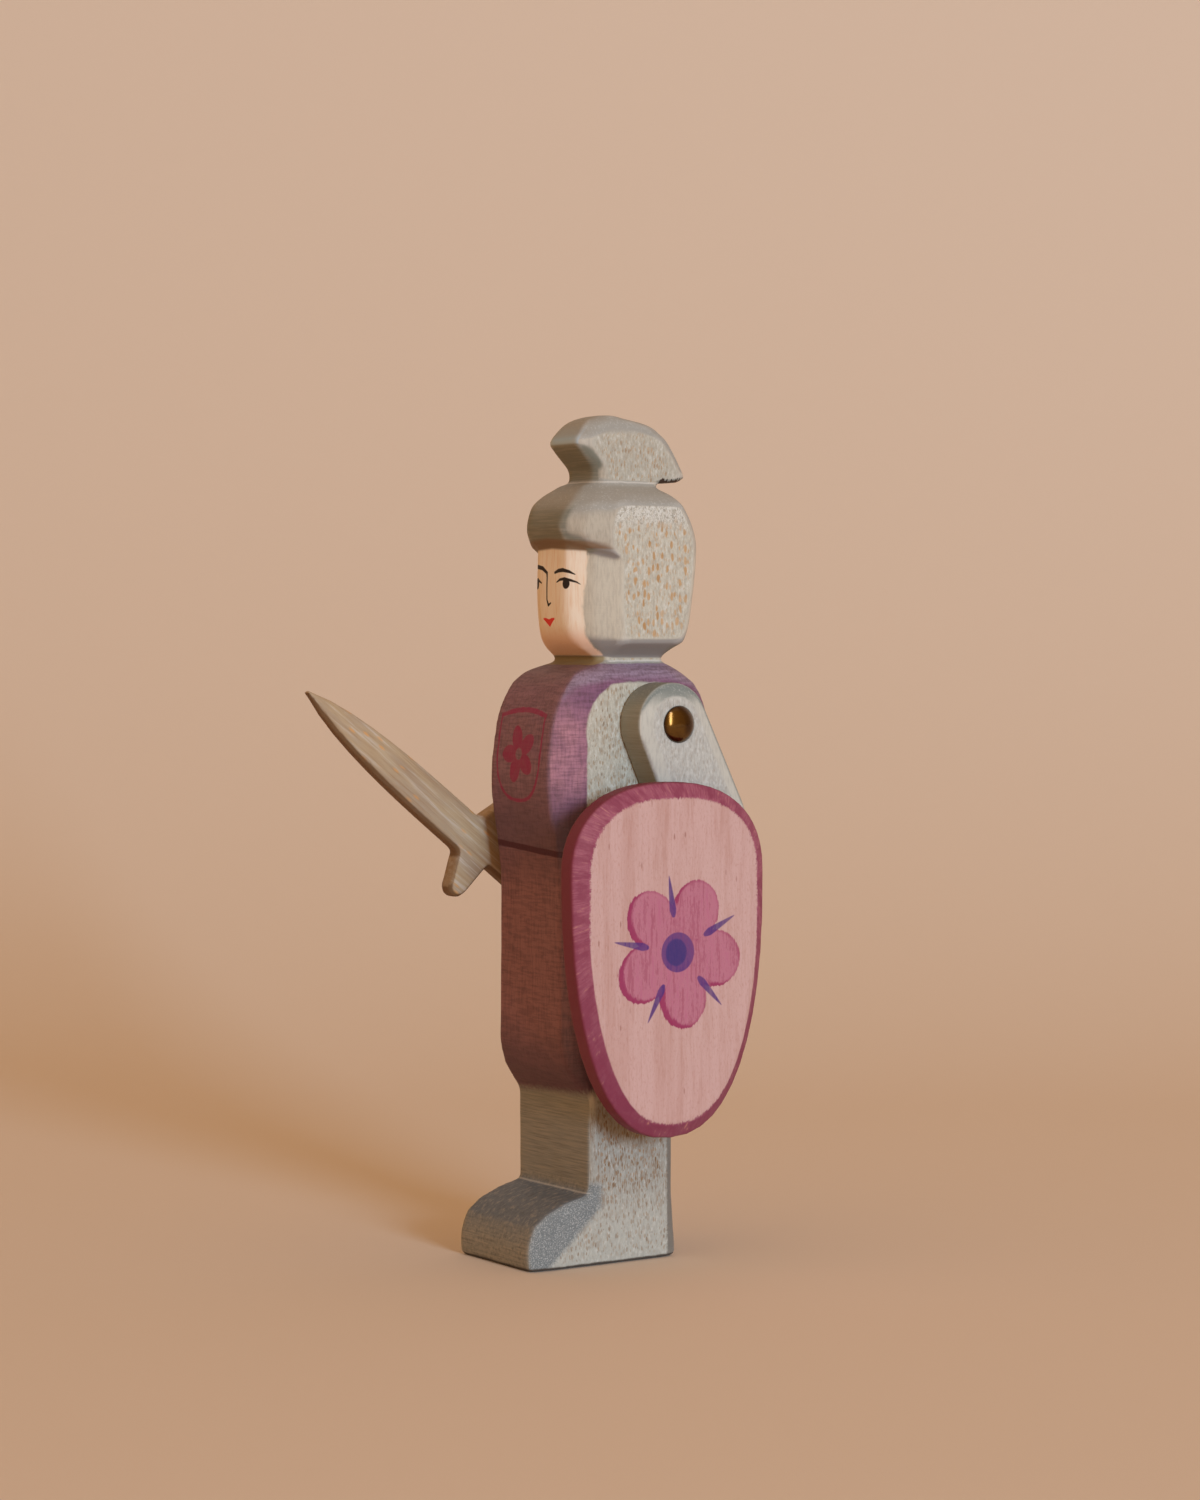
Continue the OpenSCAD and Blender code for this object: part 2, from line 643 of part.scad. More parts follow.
// Sword: rings along its own length, as [distance from the middle of the guard, half width]
function blade_half(s) = blade_w / 2 * pow(1 - pow(s, 3), 0.7);
function sword_stations() =
    let (tip_r = guard_tip_w / 2, root = guard_w / 2 + guard_curve)
    concat(
        [[-grip_len, grip_w / 2], [-guard_w / 2 - grip_shoulder, grip_w / 2]],
        [[-guard_w / 2, mix(grip_w, guard_len, 0.2) / 2]],
        [for (i = [0 : round_steps])
            let (a = 180 - 180 * i / round_steps)
            [tip_r * cos(a) - guard_sweep, guard_len / 2 - tip_r + tip_r * sin(a)]],
        [for (i = [0 : curve_steps])
            let (a = 90 * i / curve_steps)
            [root - guard_curve * cos(a), blade_w / 2 + guard_curve * (1 - sin(a))]],
        [for (i = [1 : blade_steps])
            let (s = i / blade_steps)
            [mix(root, blade_len, s), max(blade_half(s), tip_half)]]
    );
function sword_ring(x, half) =
    let (
        t = mix(sword_t, tip_t, pow(max(0, x / blade_len), 4)) / 2,
        in = min(sword_edge, half * 0.6),
        up = min(sword_edge, t * 0.6),
        corners = [
            [half, up - t], [half, t - up], [half - in, t], [in - half, t],
            [-half, t - up], [-half, up - t], [in - half, -t], [half - in, -t]
        ]
    )
    [for (p = corners) [p.x, p.y, x]];

// Turns +Z ahead of the right fist and up, with the sword's flat faces to the left and right
module sword_place() {
    translate([-(arm_in + arm_t / 2), fist_at.x, fist_at.y])
        rotate([90 - sword_up, 0, 0]) rotate([0, 0, 90]) children();
}
module sword() {
    grip_end = fist_r + glue_gap;
    tang_end = -fist_r - tang_out;
    color("wheat")
    sword_place() {
        translate([0, 0, grip_end + grip_len])
            loft([for (p = sword_stations()) sword_ring(p.x, p.y)]);
        translate([0, 0, tang_end])
            cylinder(h = grip_end + tang_root - tang_end, r = tang_r);
    }
}

body();
left_arm();
right_arm();
left_nail();
right_nail();
left_nail_cap();
right_nail_cap();
shield();
shield_dowels();
sword();
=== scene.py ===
"""Looks of a carved and painted wooden knight, around the frame of its construction.

Sizes are in millimetres, heights count from the floor, and the face looks along -Y.
"""
import json
import logging
import math
from dataclasses import dataclass
from enum import Enum

import bmesh
import bpy
from mathutils import Matrix, Vector, noise


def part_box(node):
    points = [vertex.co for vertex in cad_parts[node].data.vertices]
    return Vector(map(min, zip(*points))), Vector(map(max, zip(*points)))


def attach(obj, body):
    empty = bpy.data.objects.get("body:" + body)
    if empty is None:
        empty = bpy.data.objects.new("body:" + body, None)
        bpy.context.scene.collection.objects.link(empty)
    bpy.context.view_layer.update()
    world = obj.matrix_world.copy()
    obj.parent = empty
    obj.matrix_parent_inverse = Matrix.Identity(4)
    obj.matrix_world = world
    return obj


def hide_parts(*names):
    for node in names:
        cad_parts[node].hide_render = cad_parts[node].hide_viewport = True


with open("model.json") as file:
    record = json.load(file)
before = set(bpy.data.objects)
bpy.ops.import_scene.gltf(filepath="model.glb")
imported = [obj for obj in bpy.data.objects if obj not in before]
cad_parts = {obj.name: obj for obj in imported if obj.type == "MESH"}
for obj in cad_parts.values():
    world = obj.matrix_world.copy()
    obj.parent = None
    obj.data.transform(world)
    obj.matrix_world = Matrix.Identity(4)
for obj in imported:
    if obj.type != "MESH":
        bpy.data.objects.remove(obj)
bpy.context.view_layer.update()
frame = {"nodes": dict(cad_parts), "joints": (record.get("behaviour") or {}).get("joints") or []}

logging.basicConfig(level=logging.INFO, format="%(name)s: %(message)s")
log = logging.getLogger("knight")

MM = 0.001
SPECULAR = 0.35
LACQUER_ROUGH = 0.08
Colour = tuple[float, float, float]
Stroke = tuple[tuple[float, float, float], ...]


def paint_colour(red: int, green: int, blue: int) -> Colour:
    """A colour as a paint chart gives it, turned into the linear values of a shader.

    Args:
        red: Red from 0 to 255.
        green: Green from 0 to 255.
        blue: Blue from 0 to 255.

    Returns:
        The three linear values.
    """
    def linear(value: int) -> float:
        """One channel on the linear scale."""
        share = value / 255
        return share / 12.92 if share <= 0.04045 else ((share + 0.055) / 1.055) ** 2.4

    return linear(red), linear(green), linear(blue)


class Channel:
    """A socket that takes part in Python expressions: each operator adds a Math node."""

    def __init__(self, paint: "Paint", socket: bpy.types.NodeSocket) -> None:
        """Keeps the socket and the paint whose nodes it belongs to."""
        self.paint = paint
        self.socket = socket

    def math(self, operation: str, *others: "Channel | float") -> "Channel":
        """Adds a Math node whose first value is this channel.

        Args:
            operation: The Math node's operation.
            others: The values of its further sockets.

        Returns:
            The node's result.
        """
        inputs = dict(enumerate((self, *others)))
        return self.paint.node("ShaderNodeMath", {"operation": operation}, inputs)

    def __add__(self, other: "Channel | float") -> "Channel":
        """This channel plus another value."""
        return self.math("ADD", other)

    __radd__ = __add__

    def __mul__(self, other: "Channel | float") -> "Channel":
        """This channel times another value."""
        return self.math("MULTIPLY", other)

    __rmul__ = __mul__

    def __sub__(self, other: "Channel | float") -> "Channel":
        """This channel less another value."""
        return self.math("SUBTRACT", other)

    def __rsub__(self, other: float) -> "Channel":
        """A number less this channel."""
        return (self * -1) + other

    def __truediv__(self, other: "Channel | float") -> "Channel":
        """This channel divided by another value."""
        return self.math("DIVIDE", other)

    def __pow__(self, power: float) -> "Channel":
        """This channel to a power."""
        return self.math("POWER", power)

    def __abs__(self) -> "Channel":
        """This channel without its sign."""
        return self.math("ABSOLUTE")

    def least(self, other: "Channel | float") -> "Channel":
        """The smaller of two values."""
        return self.math("MINIMUM", other)

    def most(self, other: "Channel | float") -> "Channel":
        """The larger of two values."""
        return self.math("MAXIMUM", other)

    def step(self, low: float, high: float) -> "Channel":
        """A smooth step from 0 at low to 1 at high, or down again where low is the larger."""
        return self.paint.node(
            "ShaderNodeMapRange", {"interpolation_type": "SMOOTHSTEP"},
            {"Value": self, "From Min": low, "From Max": high},
        )


class Paint:
    """The nodes of one material, and the one way to add a node to them."""

    def __init__(self, name: str) -> None:
        """Makes an empty material.

        Args:
            name: The material's name.
        """
        self.material = bpy.data.materials.new(name)
        self.material.use_nodes = True
        self.tree = self.material.node_tree
        self.tree.nodes.clear()

    def node(
        self, kind: str, settings: dict | None = None, inputs: dict | None = None,
        output: str | int = 0,
    ) -> Channel:
        """Adds a node.

        Args:
            kind: The node's type.
            settings: Its properties, which are set first.
            inputs: The values or channels of its sockets, by name or place.
            output: The socket that is returned, by name or place.

        Returns:
            The chosen output.
        """
        made = self.tree.nodes.new(kind)
        for key, value in (settings or {}).items():
            setattr(made, key, value)
        for key, value in (inputs or {}).items():
            socket = made.inputs[key]
            if isinstance(value, Channel):
                self.tree.links.new(value.socket, socket)
            elif socket.type == "RGBA":
                socket.default_value = (*value, 1)
            else:
                socket.default_value = value
        return Channel(self, made.outputs[output])

    def end(self, shader: Channel) -> bpy.types.Material:
        """Ends the material with a shader.

        Args:
            shader: The shader that the surface shows.

        Returns:
            The finished material.
        """
        output = self.tree.nodes.new("ShaderNodeOutputMaterial")
        self.tree.links.new(shader.socket, output.inputs["Surface"])
        return self.material

    def point(self, x: Channel | float, y: Channel | float, z: Channel | float) -> Channel:
        """A vector of three values."""
        return self.node("ShaderNodeCombineXYZ", None, {0: x, 1: y, 2: z})

    def axes(self, vector: Channel) -> tuple[Channel, Channel, Channel]:
        """Takes a vector apart.

        Args:
            vector: The vector.

        Returns:
            Its three values.
        """
        first = self.node("ShaderNodeSeparateXYZ", None, {0: vector})
        made = first.socket.node
        return first, Channel(self, made.outputs[1]), Channel(self, made.outputs[2])

    def cloud(self, place: Channel, detail: float = 2, rough: float = 0.5) -> Channel:
        """Soft noise, about one patch to a unit of the place."""
        return self.node(
            "ShaderNodeTexNoise", None,
            {"Vector": place, "Scale": 1, "Detail": detail, "Roughness": rough},
        )

    def cells(self, u: Channel, v: Channel) -> tuple[Channel, Channel, Channel]:
        """Scattered grains, one to a unit of a plane.

        Args:
            u: The place across the grain.
            v: The place along the grain.

        Returns:
            The distance to the nearest grain, and two random values for that grain.
        """
        near = self.node(
            "ShaderNodeTexVoronoi", {"voronoi_dimensions": "2D"},
            {"Vector": self.point(u, v, 0), "Scale": 1}, "Distance",
        )
        pick, tone, _ = self.axes(Channel(self, near.socket.node.outputs["Color"]))
        return near, pick, tone

    def blend(
        self, bottom: "Channel | Colour", top: "Channel | Colour", share: "Channel | float",
    ) -> Channel:
        """One colour laid over another.

        Args:
            bottom: The colour below.
            top: The colour above.
            share: How much of the upper colour shows.

        Returns:
            The mixed colour.
        """
        return self.node(
            "ShaderNodeMix", {"data_type": "RGBA"}, {0: share, 6: bottom, 7: top}, 2,
        )


@dataclass(frozen=True)
class Spot:
    """Where a point of a piece lies, and how its surface runs there.

    Attributes:
        x: Millimetres to the figure's left.
        y: Millimetres towards the figure's back.
        z: Millimetres above the floor.
        flat: How squarely the surface faces left or right, from 0 to 1.
        ahead: How squarely the surface faces ahead, from -1 to 1.
        up: How squarely the surface faces up, from -1 to 1.
        ridge: Millimetres that the surface stands out on an edge, or less than 0 in a groove.
    """

    x: Channel
    y: Channel
    z: Channel
    flat: Channel
    ahead: Channel
    up: Channel
    ridge: Channel

    @classmethod
    def read(cls, paint: Paint) -> "Spot":
        """Reads the place and the lie of the surface from a piece.

        Args:
            paint: The paint that the piece gets.

        Returns:
            The channels that its coats are mixed from.
        """
        place = paint.node("ShaderNodeTexCoord", None, None, "Object")
        scaled = paint.node(
            "ShaderNodeVectorMath", {"operation": "SCALE"}, {0: place, "Scale": 1 / MM},
        )
        facing = paint.node("ShaderNodeAttribute", {"attribute_name": "facing"}, None, "Vector")
        ridge = paint.node("ShaderNodeAttribute", {"attribute_name": "ridge"}, None, "Fac")
        across, back, up = paint.axes(facing)
        return cls(*paint.axes(scaled), abs(across), back * -1, up, ridge)


@dataclass(frozen=True)
class Coat:
    """A layer of paint.

    Attributes:
        colour: Its colour.
        rough: Its roughness.
        relief: Its height over the wood, in millimetres.
    """

    colour: Channel
    rough: Channel
    relief: Channel

    def under(self, top: "Coat", mask: Channel) -> "Coat":
        """This coat with another one laid over it.

        Args:
            top: The coat above.
            mask: Where the coat above shows.

        Returns:
            Both as one coat.
        """
        paint = self.colour.paint
        rest = 1 - mask
        return Coat(
            paint.blend(self.colour, top.colour, mask),
            self.rough * rest + top.rough * mask,
            self.relief * rest + top.relief * mask,
        )

    def stroke(self, colour: Colour, mask: Channel) -> "Coat":
        """This coat with a thin painted line over it.

        Args:
            colour: The line's colour.
            mask: Where the line shows.

        Returns:
            Both as one coat.
        """
        return Coat(self.colour.paint.blend(self.colour, colour, mask), self.rough, self.relief)

    def dry(self, metallic: float = 0, lacquer: float = 0) -> bpy.types.Material:
        """Ends the paint with a shader.

        Args:
            metallic: How metallic the surface is.
            lacquer: How much of a clear lacquer lies over it.

        Returns:
            The finished material.
        """
        paint = self.colour.paint
        normal = paint.node("ShaderNodeBump", None, {"Height": self.relief, "Distance": MM})
        shader = paint.node(
            "ShaderNodeBsdfPrincipled", None,
            {
                "Base Color": self.colour, "Roughness": self.rough, "Metallic": metallic,
                "Normal": normal, "Specular IOR Level": SPECULAR,
                "Coat Weight": lacquer, "Coat Roughness": LACQUER_ROUGH,
            },
        )
        return paint.end(shader)


@dataclass(frozen=True)
class SilverWash:
    """Thin silver-grey paint: it soaks into the plank's sides and shows their flecks.

    Attributes:
        pale: Colour of the sides.
        worn_and_shaded: Colour of the sides where the paint is thin, and painted shade on the slanted
            edges of the helmet's top.
        chip: Colour of the small pale chips in the grain.
        cheek: Colour of the slanted edges.
        rear: Colour of the darker patches of the sides' wash, and of the painted shadow on the legs'
            sides.
        steel: Colour of the sanded bevels and other surfaces that face up: painted light over the fronts,
            painted shade over the slanted edges.
        shade: Colour of the bevels that face down, as painted shade.
        grey: Colour of the fronts and backs, darker than the sides, partly as painted shade.
        brow: Colour of the helmet's front and back, darker than the sides, partly as painted shade.
        crest_front_light: Colour of the crest's front, lighter as painted light.
        foot: Colour of the tops of the feet, darkened as painted shade under the skirt.
        scuff: Colour of the dark scuffs on the feet.
        foot_edge: Colour of the sanded edges of the feet.
        leg: Colour of the cooler wash on the legs' sides.
        heel: Colour of the heels' sanded edges.
        fleck: Colour of the orange flecks.
        pore: Colour of the brown flecks.
        fleck_w: Room for one fleck across the grain.
        fleck_h: Room for one fleck along the grain.
        strength: How strongly the flecks show.
        crown: Heights between which the helmet's side has no flecks.
        plume_z: Height above which the crest's front takes the painted light.
        collar_z: Height above which the helmet starts.
        leg_z: Height below which the sides are browner.
        instep_z: Height below which the edges are those of the feet.
        tip_y: Where the sanded edge of a foot ends on the floor, towards the back.
        tip_slope: How fast that end moves back with the height.
        heel_y: Where the sanded edge of a heel starts, towards the back.
        tip_z: Height above which the end of a foot's sanded edge moves back no further.
        cheek_z: Heights between which the slanted edges turn darker towards the top, as painted shade.
        shield_shadow_z: Heights between which the legs' sides darken towards the top, as painted shadow of
            the shield.
        fleck_z: Heights between which their flecks get denser.
        streak_z: Heights between which their streaks get stronger.
    """

    pale: Colour = paint_colour(194, 185, 164)
    worn_and_shaded: Colour = paint_colour(168, 156, 138)
    chip: Colour = paint_colour(222, 217, 206)
    cheek: Colour = paint_colour(198, 186, 164)
    rear: Colour = paint_colour(128, 120, 110)
    steel: Colour = paint_colour(158, 152, 140)
    shade: Colour = paint_colour(140, 131, 122)
    grey: Colour = paint_colour(137, 133, 122)
    brow: Colour = paint_colour(124, 121, 105)
    crest_front_light: Colour = paint_colour(164, 182, 190)
    foot: Colour = paint_colour(103, 108, 112)
    scuff: Colour = paint_colour(80, 78, 76)
    foot_edge: Colour = paint_colour(116, 119, 116)
    leg: Colour = paint_colour(162, 164, 157)
    heel: Colour = paint_colour(114, 107, 97)
    fleck: Colour = paint_colour(190, 134, 66)
    pore: Colour = paint_colour(128, 100, 72)
    fleck_w: float = 1.05
    fleck_h: float = 2.3
    strength: float = 0.8
    crown: tuple[float, float] = (138.4, 146.8)
    plume_z: float = 151.0
    collar_z: float = 113.0
    leg_z: float = 31.0
    instep_z: float = 15.5
    tip_y: float = -19.2
    tip_slope: float = 1.1
    heel_y: float = 8.1
    tip_z: float = 11.0
    cheek_z: tuple[float, float] = (131.0, 136.0)
    shield_shadow_z: tuple[float, float] = (8.0, 20.0)
    fleck_z: tuple[float, float] = (11.0, 17.0)
    streak_z: tuple[float, float] = (6.0, 16.0)

    def dashes(self, paint: Paint, u: Channel, v: Channel, few: float) -> tuple[Channel, Channel]:
        """Scatters short flecks along the grain, each of its own size.

        Args:
            paint: The paint that they go into.
            u: The place across the grain, in rooms for a fleck.
            v: The place along the grain, in rooms for a fleck.
            few: The share of the flecks that don't show.

        Returns:
            Where the flecks show, and a random tone for each.
        """
        near, pick, tone = paint.cells(u, v)
        reach = pick.step(few, 1) * 0.34 + 0.07
        return (reach - near).step(-0.04, 0.14) * (0.5 + 0.5 * tone), tone

    def lay(self, paint: Paint, spot: Spot) -> Coat:
        """Mixes the wash.

        Args:
            paint: The paint that it goes into.
            spot: The place on the piece.

        Returns:
            The coat.
        """
        x, y, z = spot.x, spot.y, spot.z
        grit = paint.cloud(paint.point(x * 2.4, y * 2.4, z * 2.4), 3, 0.7)
        ripple = paint.cloud(paint.point(x * 0.12, y * 0.12, z * 3.2), 3, 0.65)
        fine = paint.cloud(paint.point(x * 2.2, y * 2.2, z * 0.4), 3, 0.6)
        leg = z.step(self.leg_z + 2, self.leg_z - 3)
        slant = spot.flat.step(0.45, 0.62)
        side = spot.flat.step(0.955, 0.985).most(slant * leg)
        # Fronts and backs are painted darker than the sides, partly as painted shade.
        colour = paint.blend(self.grey, self.brow, z.step(self.collar_z, self.collar_z + 4))
        colour = paint.blend(colour, self.worn_and_shaded, ripple.step(0.44, 0.64) * (0.3 + 0.2 * leg))
        colour = paint.blend(colour, self.heel, ripple.step(0.47, 0.33) * (0.2 + 0.4 * leg))
        # Painted light on the crest's front.
        crest_front_light = z.step(self.plume_z - 1, self.plume_z + 1) * spot.up.step(-0.35, -0.05)
        colour = paint.blend(colour, self.crest_front_light, crest_front_light)
        # Up-facing surfaces: painted light over the fronts, painted shade over the slanted edges.
        lit = paint.blend(self.steel, self.chip, grit.step(0.52, 0.75) * 0.4)
        colour = paint.blend(colour, lit, spot.up.step(0.3, 0.8))
        # Above cheek_z the slanted edges take the darker colour as painted shade.
        thin = fine.step(0.4, 0.7) * 0.5 + z.step(*self.cheek_z) * 0.45
        cheek = paint.blend(self.cheek, self.worn_and_shaded, thin)
        cheek = paint.blend(cheek, lit, spot.up.step(0.14, 0.34))
        # Painted shade on the bevels that face down, browner under the crest.
        under = paint.blend(self.shade, self.brow, z.step(self.crown[1] - 0.5, self.crown[1] + 0.5))
        cheek = paint.blend(cheek, under, spot.up.step(-0.15, -0.4))
        colour = paint.blend(colour, cheek, slant)
        washed, dents = self.soak(paint, spot)
        colour = paint.blend(colour, washed, side)
        colour = self.sand_feet(paint, spot, colour, grit)
        colour = paint.blend(colour, self.chip, spot.ridge.step(0.05, 0.14) * (0.2 - 0.16 * leg))
        relief = ripple * 0.03 * (1 - side) + grit * 0.025 - dents * side
        return Coat(colour, 0.52 + 0.2 * grit, relief)

    def sand_feet(self, paint: Paint, spot: Spot, colour: Channel, grit: Channel) -> Channel:
        """Colours the tops of the feet in painted shade, their scuffs and the edges that were sanded most.

        Args:
            paint: The paint that they go into.
            spot: The place on the piece.
            colour: The colour below.
            grit: Fine unevenness of the paint.

        Returns:
            The colour.
        """
        x, y, z = spot.x, spot.y, spot.z
        edge = spot.flat.step(0.3, 0.6)
        uneven = (grit - 0.5) * 3
        feet = z.step(self.instep_z + 0.8, self.instep_z - 0.8)
        # Painted shade on the tops of the feet, under the skirt.
        top = feet * spot.ahead.step(-0.1, 0.05) * spot.up.step(0, 0.8)
        colour = paint.blend(colour, self.foot, top)
        rubbed = paint.cloud(paint.point(x * 1.3, y * 0.45, z * 1.3), 4, 0.75)
        plain = feet * (1 - edge)
        colour = paint.blend(colour, self.worn_and_shaded, plain * rubbed.step(0.49, 0.65) * 0.5)
        colour = paint.blend(colour, self.scuff, plain * rubbed.step(0.47, 0.33) * 0.5)
        tip = (self.tip_y + z.least(self.tip_z) * self.tip_slope - y + uneven).step(-1.3, 1.1)
        salt = paint.cloud(paint.point(x * 4.2, y * 4.2, z * 4.2), 2, 0.6)
        speckled = paint.blend(self.foot_edge, self.chip, salt.step(0.46, 0.68) * 0.42)
        colour = paint.blend(colour, speckled, tip * feet * edge)
        heel = (y - self.heel_y + uneven * 0.3).step(-0.3, 0.3) * z.step(self.leg_z, self.leg_z - 2)
        return paint.blend(colour, self.heel, heel * edge * 0.9)

    def soak(self, paint: Paint, spot: Spot) -> tuple[Channel, Channel]:
        """Mixes the wash of the plank's sides, where the grain drinks it unevenly.

        Args:
            paint: The paint that it goes into.
            spot: The place on the piece.

        Returns:
            The colour, and the depth of the open grain in millimetres.
        """
        x, y, z = spot.x, spot.y, spot.z
        sway = paint.cloud(paint.point(x, y * 0.7, z * 0.35)) - 0.5
        grain = y + x * 3 + sway * 0.9
        mottle = paint.cloud(paint.point(x * 2, y * 2, z * 0.8), 4, 0.7)
        crackle = paint.cloud(paint.point(x * 2, y * 2.4, z * 1.6), 3, 0.7)
        crest = z.step(self.crown[1] - 0.3, self.crown[1] + 0.3)
        crown = z.step(self.crown[0] - 2, self.crown[0] + 2.5) * (1 - crest)
        leg = z.step(self.leg_z + 2, self.leg_z - 3)
        chest = z.step(self.collar_z + 1, self.collar_z - 1) * (1 - leg)
        plain = (1 - crown * 0.9) * spot.ridge.step(0.06, 0.01) * self.strength
        across, along = grain / self.fleck_w, z / self.fleck_h
        large, tone = self.dashes(paint, across, along, 0.05)
        small, shade = self.dashes(paint, across * 2.1 + 31, along * 1.7 + 7, 0.05)
        thin = paint.blend(self.pale, self.worn_and_shaded, mottle.step(0.44, 0.64) * 0.65)
        thin = paint.blend(thin, self.leg, leg * 0.5)
        # Painted shadow of the shield: the legs' sides darken towards the top; the crest's sides are a
        # little darker.
        thin = paint.blend(thin, self.rear, leg * z.step(*self.shield_shadow_z) * 0.36 + crest * 0.2)
        thin = paint.blend(thin, self.chip, mottle.step(0.47, 0.33) * (0.4 - leg * 0.1))
        thin = paint.blend(thin, self.rear, crown * crackle.step(0.48, 0.62) * 0.45)
        thin = paint.blend(thin, self.chip, crown * abs(crackle - 0.47).step(0.06, 0.02) * 0.7)
        brown = leg * 0.75 + chest * 0.6 + crest * 0.3
        first = paint.blend(self.fleck, self.pore, brown + tone.step(0.4, 0.9) * 0.3)
        second = paint.blend(self.fleck, self.pore, brown + shade.step(0.4, 0.9) * 0.4)
        dense = 0.35 + z.step(*self.fleck_z) * 0.5
        many = plain * (0.45 + crest * 0.3 + chest * 0.4 + leg * dense)
        thin = paint.blend(thin, second, small * many)
        thin = paint.blend(thin, first, large * plain * (1.05 - crest * 0.85 - chest * 0.6 - leg * 0.7))
        streaks = paint.cloud(paint.point(x * 2.8, y * 2.8, z * 0.5), 3, 0.7).step(0.5, 0.62)
        thin = paint.blend(thin, self.pore, streaks * leg * z.step(*self.streak_z) * 0.65)
        return thin, (large + small) * 0.03 + crackle * 0.05


@dataclass(frozen=True)
class TunicStain:
    """Mauve stain of the tunic, brushed on thinly.

    Attributes:
        mauve: Main colour of the slanted edges and the sides.
        violet: Cooler colour of the second brush strokes.
        lilac: Pale colour of the up-facing shoulders beside the neck, as painted light.
        front: Main colour of the front and the back, darker than the slanted edges, partly as painted
            shade.
        skirt: Browner colour of the skirt.
        dark_stain_and_shade: Colour of the stain's darker threads, and of the painted shade above the belt
            and towards the hem.
        chin_shadow: Colour of the painted shadow under the chin.
        belt_z: Height above which the tunic is mauve.
        hem_z: Height of the hem.
        shoulder_z: Height above which it is violet.
        chin_y: Places between which the painted shadow under the chin starts, towards the back.
    """

    mauve: Colour = paint_colour(180, 124, 133)
    violet: Colour = paint_colour(130, 87, 112)
    lilac: Colour = paint_colour(152, 128, 144)
    front: Colour = paint_colour(144, 104, 113)
    skirt: Colour = paint_colour(149, 101, 105)
    dark_stain_and_shade: Colour = paint_colour(78, 50, 60)
    chin_shadow: Colour = paint_colour(122, 104, 98)
    belt_z: float = 77.6
    hem_z: float = 32.0
    shoulder_z: float = 107.0
    chin_y: tuple[float, float] = (-3.0, -7.0)

    def lay(self, paint: Paint, spot: Spot) -> Coat:
        """Mixes the stain.

        Args:
            paint: The paint that it goes into.
            spot: The place on the piece.

        Returns:
            The coat.
        """
        x, y, z = spot.x, spot.y, spot.z
        brush = paint.cloud(paint.point(x * 0.1, y * 0.1, z * 0.1), 3, 0.6)
        rows = paint.cloud(paint.point(x * 0.25, y * 0.25, z * 2.1), 2, 0.6)
        columns = paint.cloud(paint.point(x * 2.2, y * 2.2, z * 0.3), 2, 0.6)
        grit = paint.cloud(paint.point(x * 2.8, y * 2.8, z * 2.8), 3, 0.7)
        ahead = abs(spot.ahead).step(0.7, 0.84)
        slanted = 1 - ahead
        high = (z - self.shoulder_z + (brush - 0.5) * 10).step(-8, -1)
        waist = (z - self.belt_z + (brush - 0.5) * 12).step(15, 4)
        below = (z - self.belt_z).step(0.3, -0.3)
        hem = (z - self.hem_z + (brush - 0.5) * 8).step(16, 2)
        weave = rows.step(0.42, 0.62) * 0.5 + columns.step(0.42, 0.64) * 0.4
        cool = (high * 0.95).most(waist).most(brush.step(0.48, 0.7) * 0.5)
        colour = paint.blend(self.mauve, self.violet, cool)
        # Painted light on the up-facing shoulders.
        lit = spot.up.step(0.25, 0.6) * spot.flat.step(0.15, 0.4)
        colour = paint.blend(colour, self.lilac, lit * high)
        # The front and back are darker than the slanted edges, partly as painted shade.
        front = paint.blend(self.front, self.violet, brush.step(0.5, 0.75) * 0.3)
        colour = paint.blend(colour, front, ahead.most(spot.flat.step(0.4, 0.15)))
        # Painted shade on the chest, darker towards the belt.
        colour = paint.blend(colour, self.dark_stain_and_shade, waist * (1 - below) * (0.55 + slanted * 0.1))
        colour = paint.blend(colour, self.skirt, below)
        # The skirt darkens towards the hem as painted shade, and also just below the belt.
        skirt_darkening = hem.most((z - self.belt_z).step(-9, -1) * 0.5)
        colour = paint.blend(colour, self.dark_stain_and_shade, skirt_darkening * below * 0.72)
        # Painted shadow under the chin.
        dull = (z - self.shoulder_z + (brush - 0.5) * 6).step(0, 5) * y.step(*self.chin_y)
        colour = paint.blend(colour, self.chin_shadow, dull * spot.flat.step(0.35, 0.15) * 0.6)
        colour = paint.blend(colour, self.dark_stain_and_shade, weave * 0.6 + grit.step(0.5, 0.8) * 0.3)
        return Coat(colour, 0.55 + 0.15 * brush, weave * -0.04 - grit * 0.015)


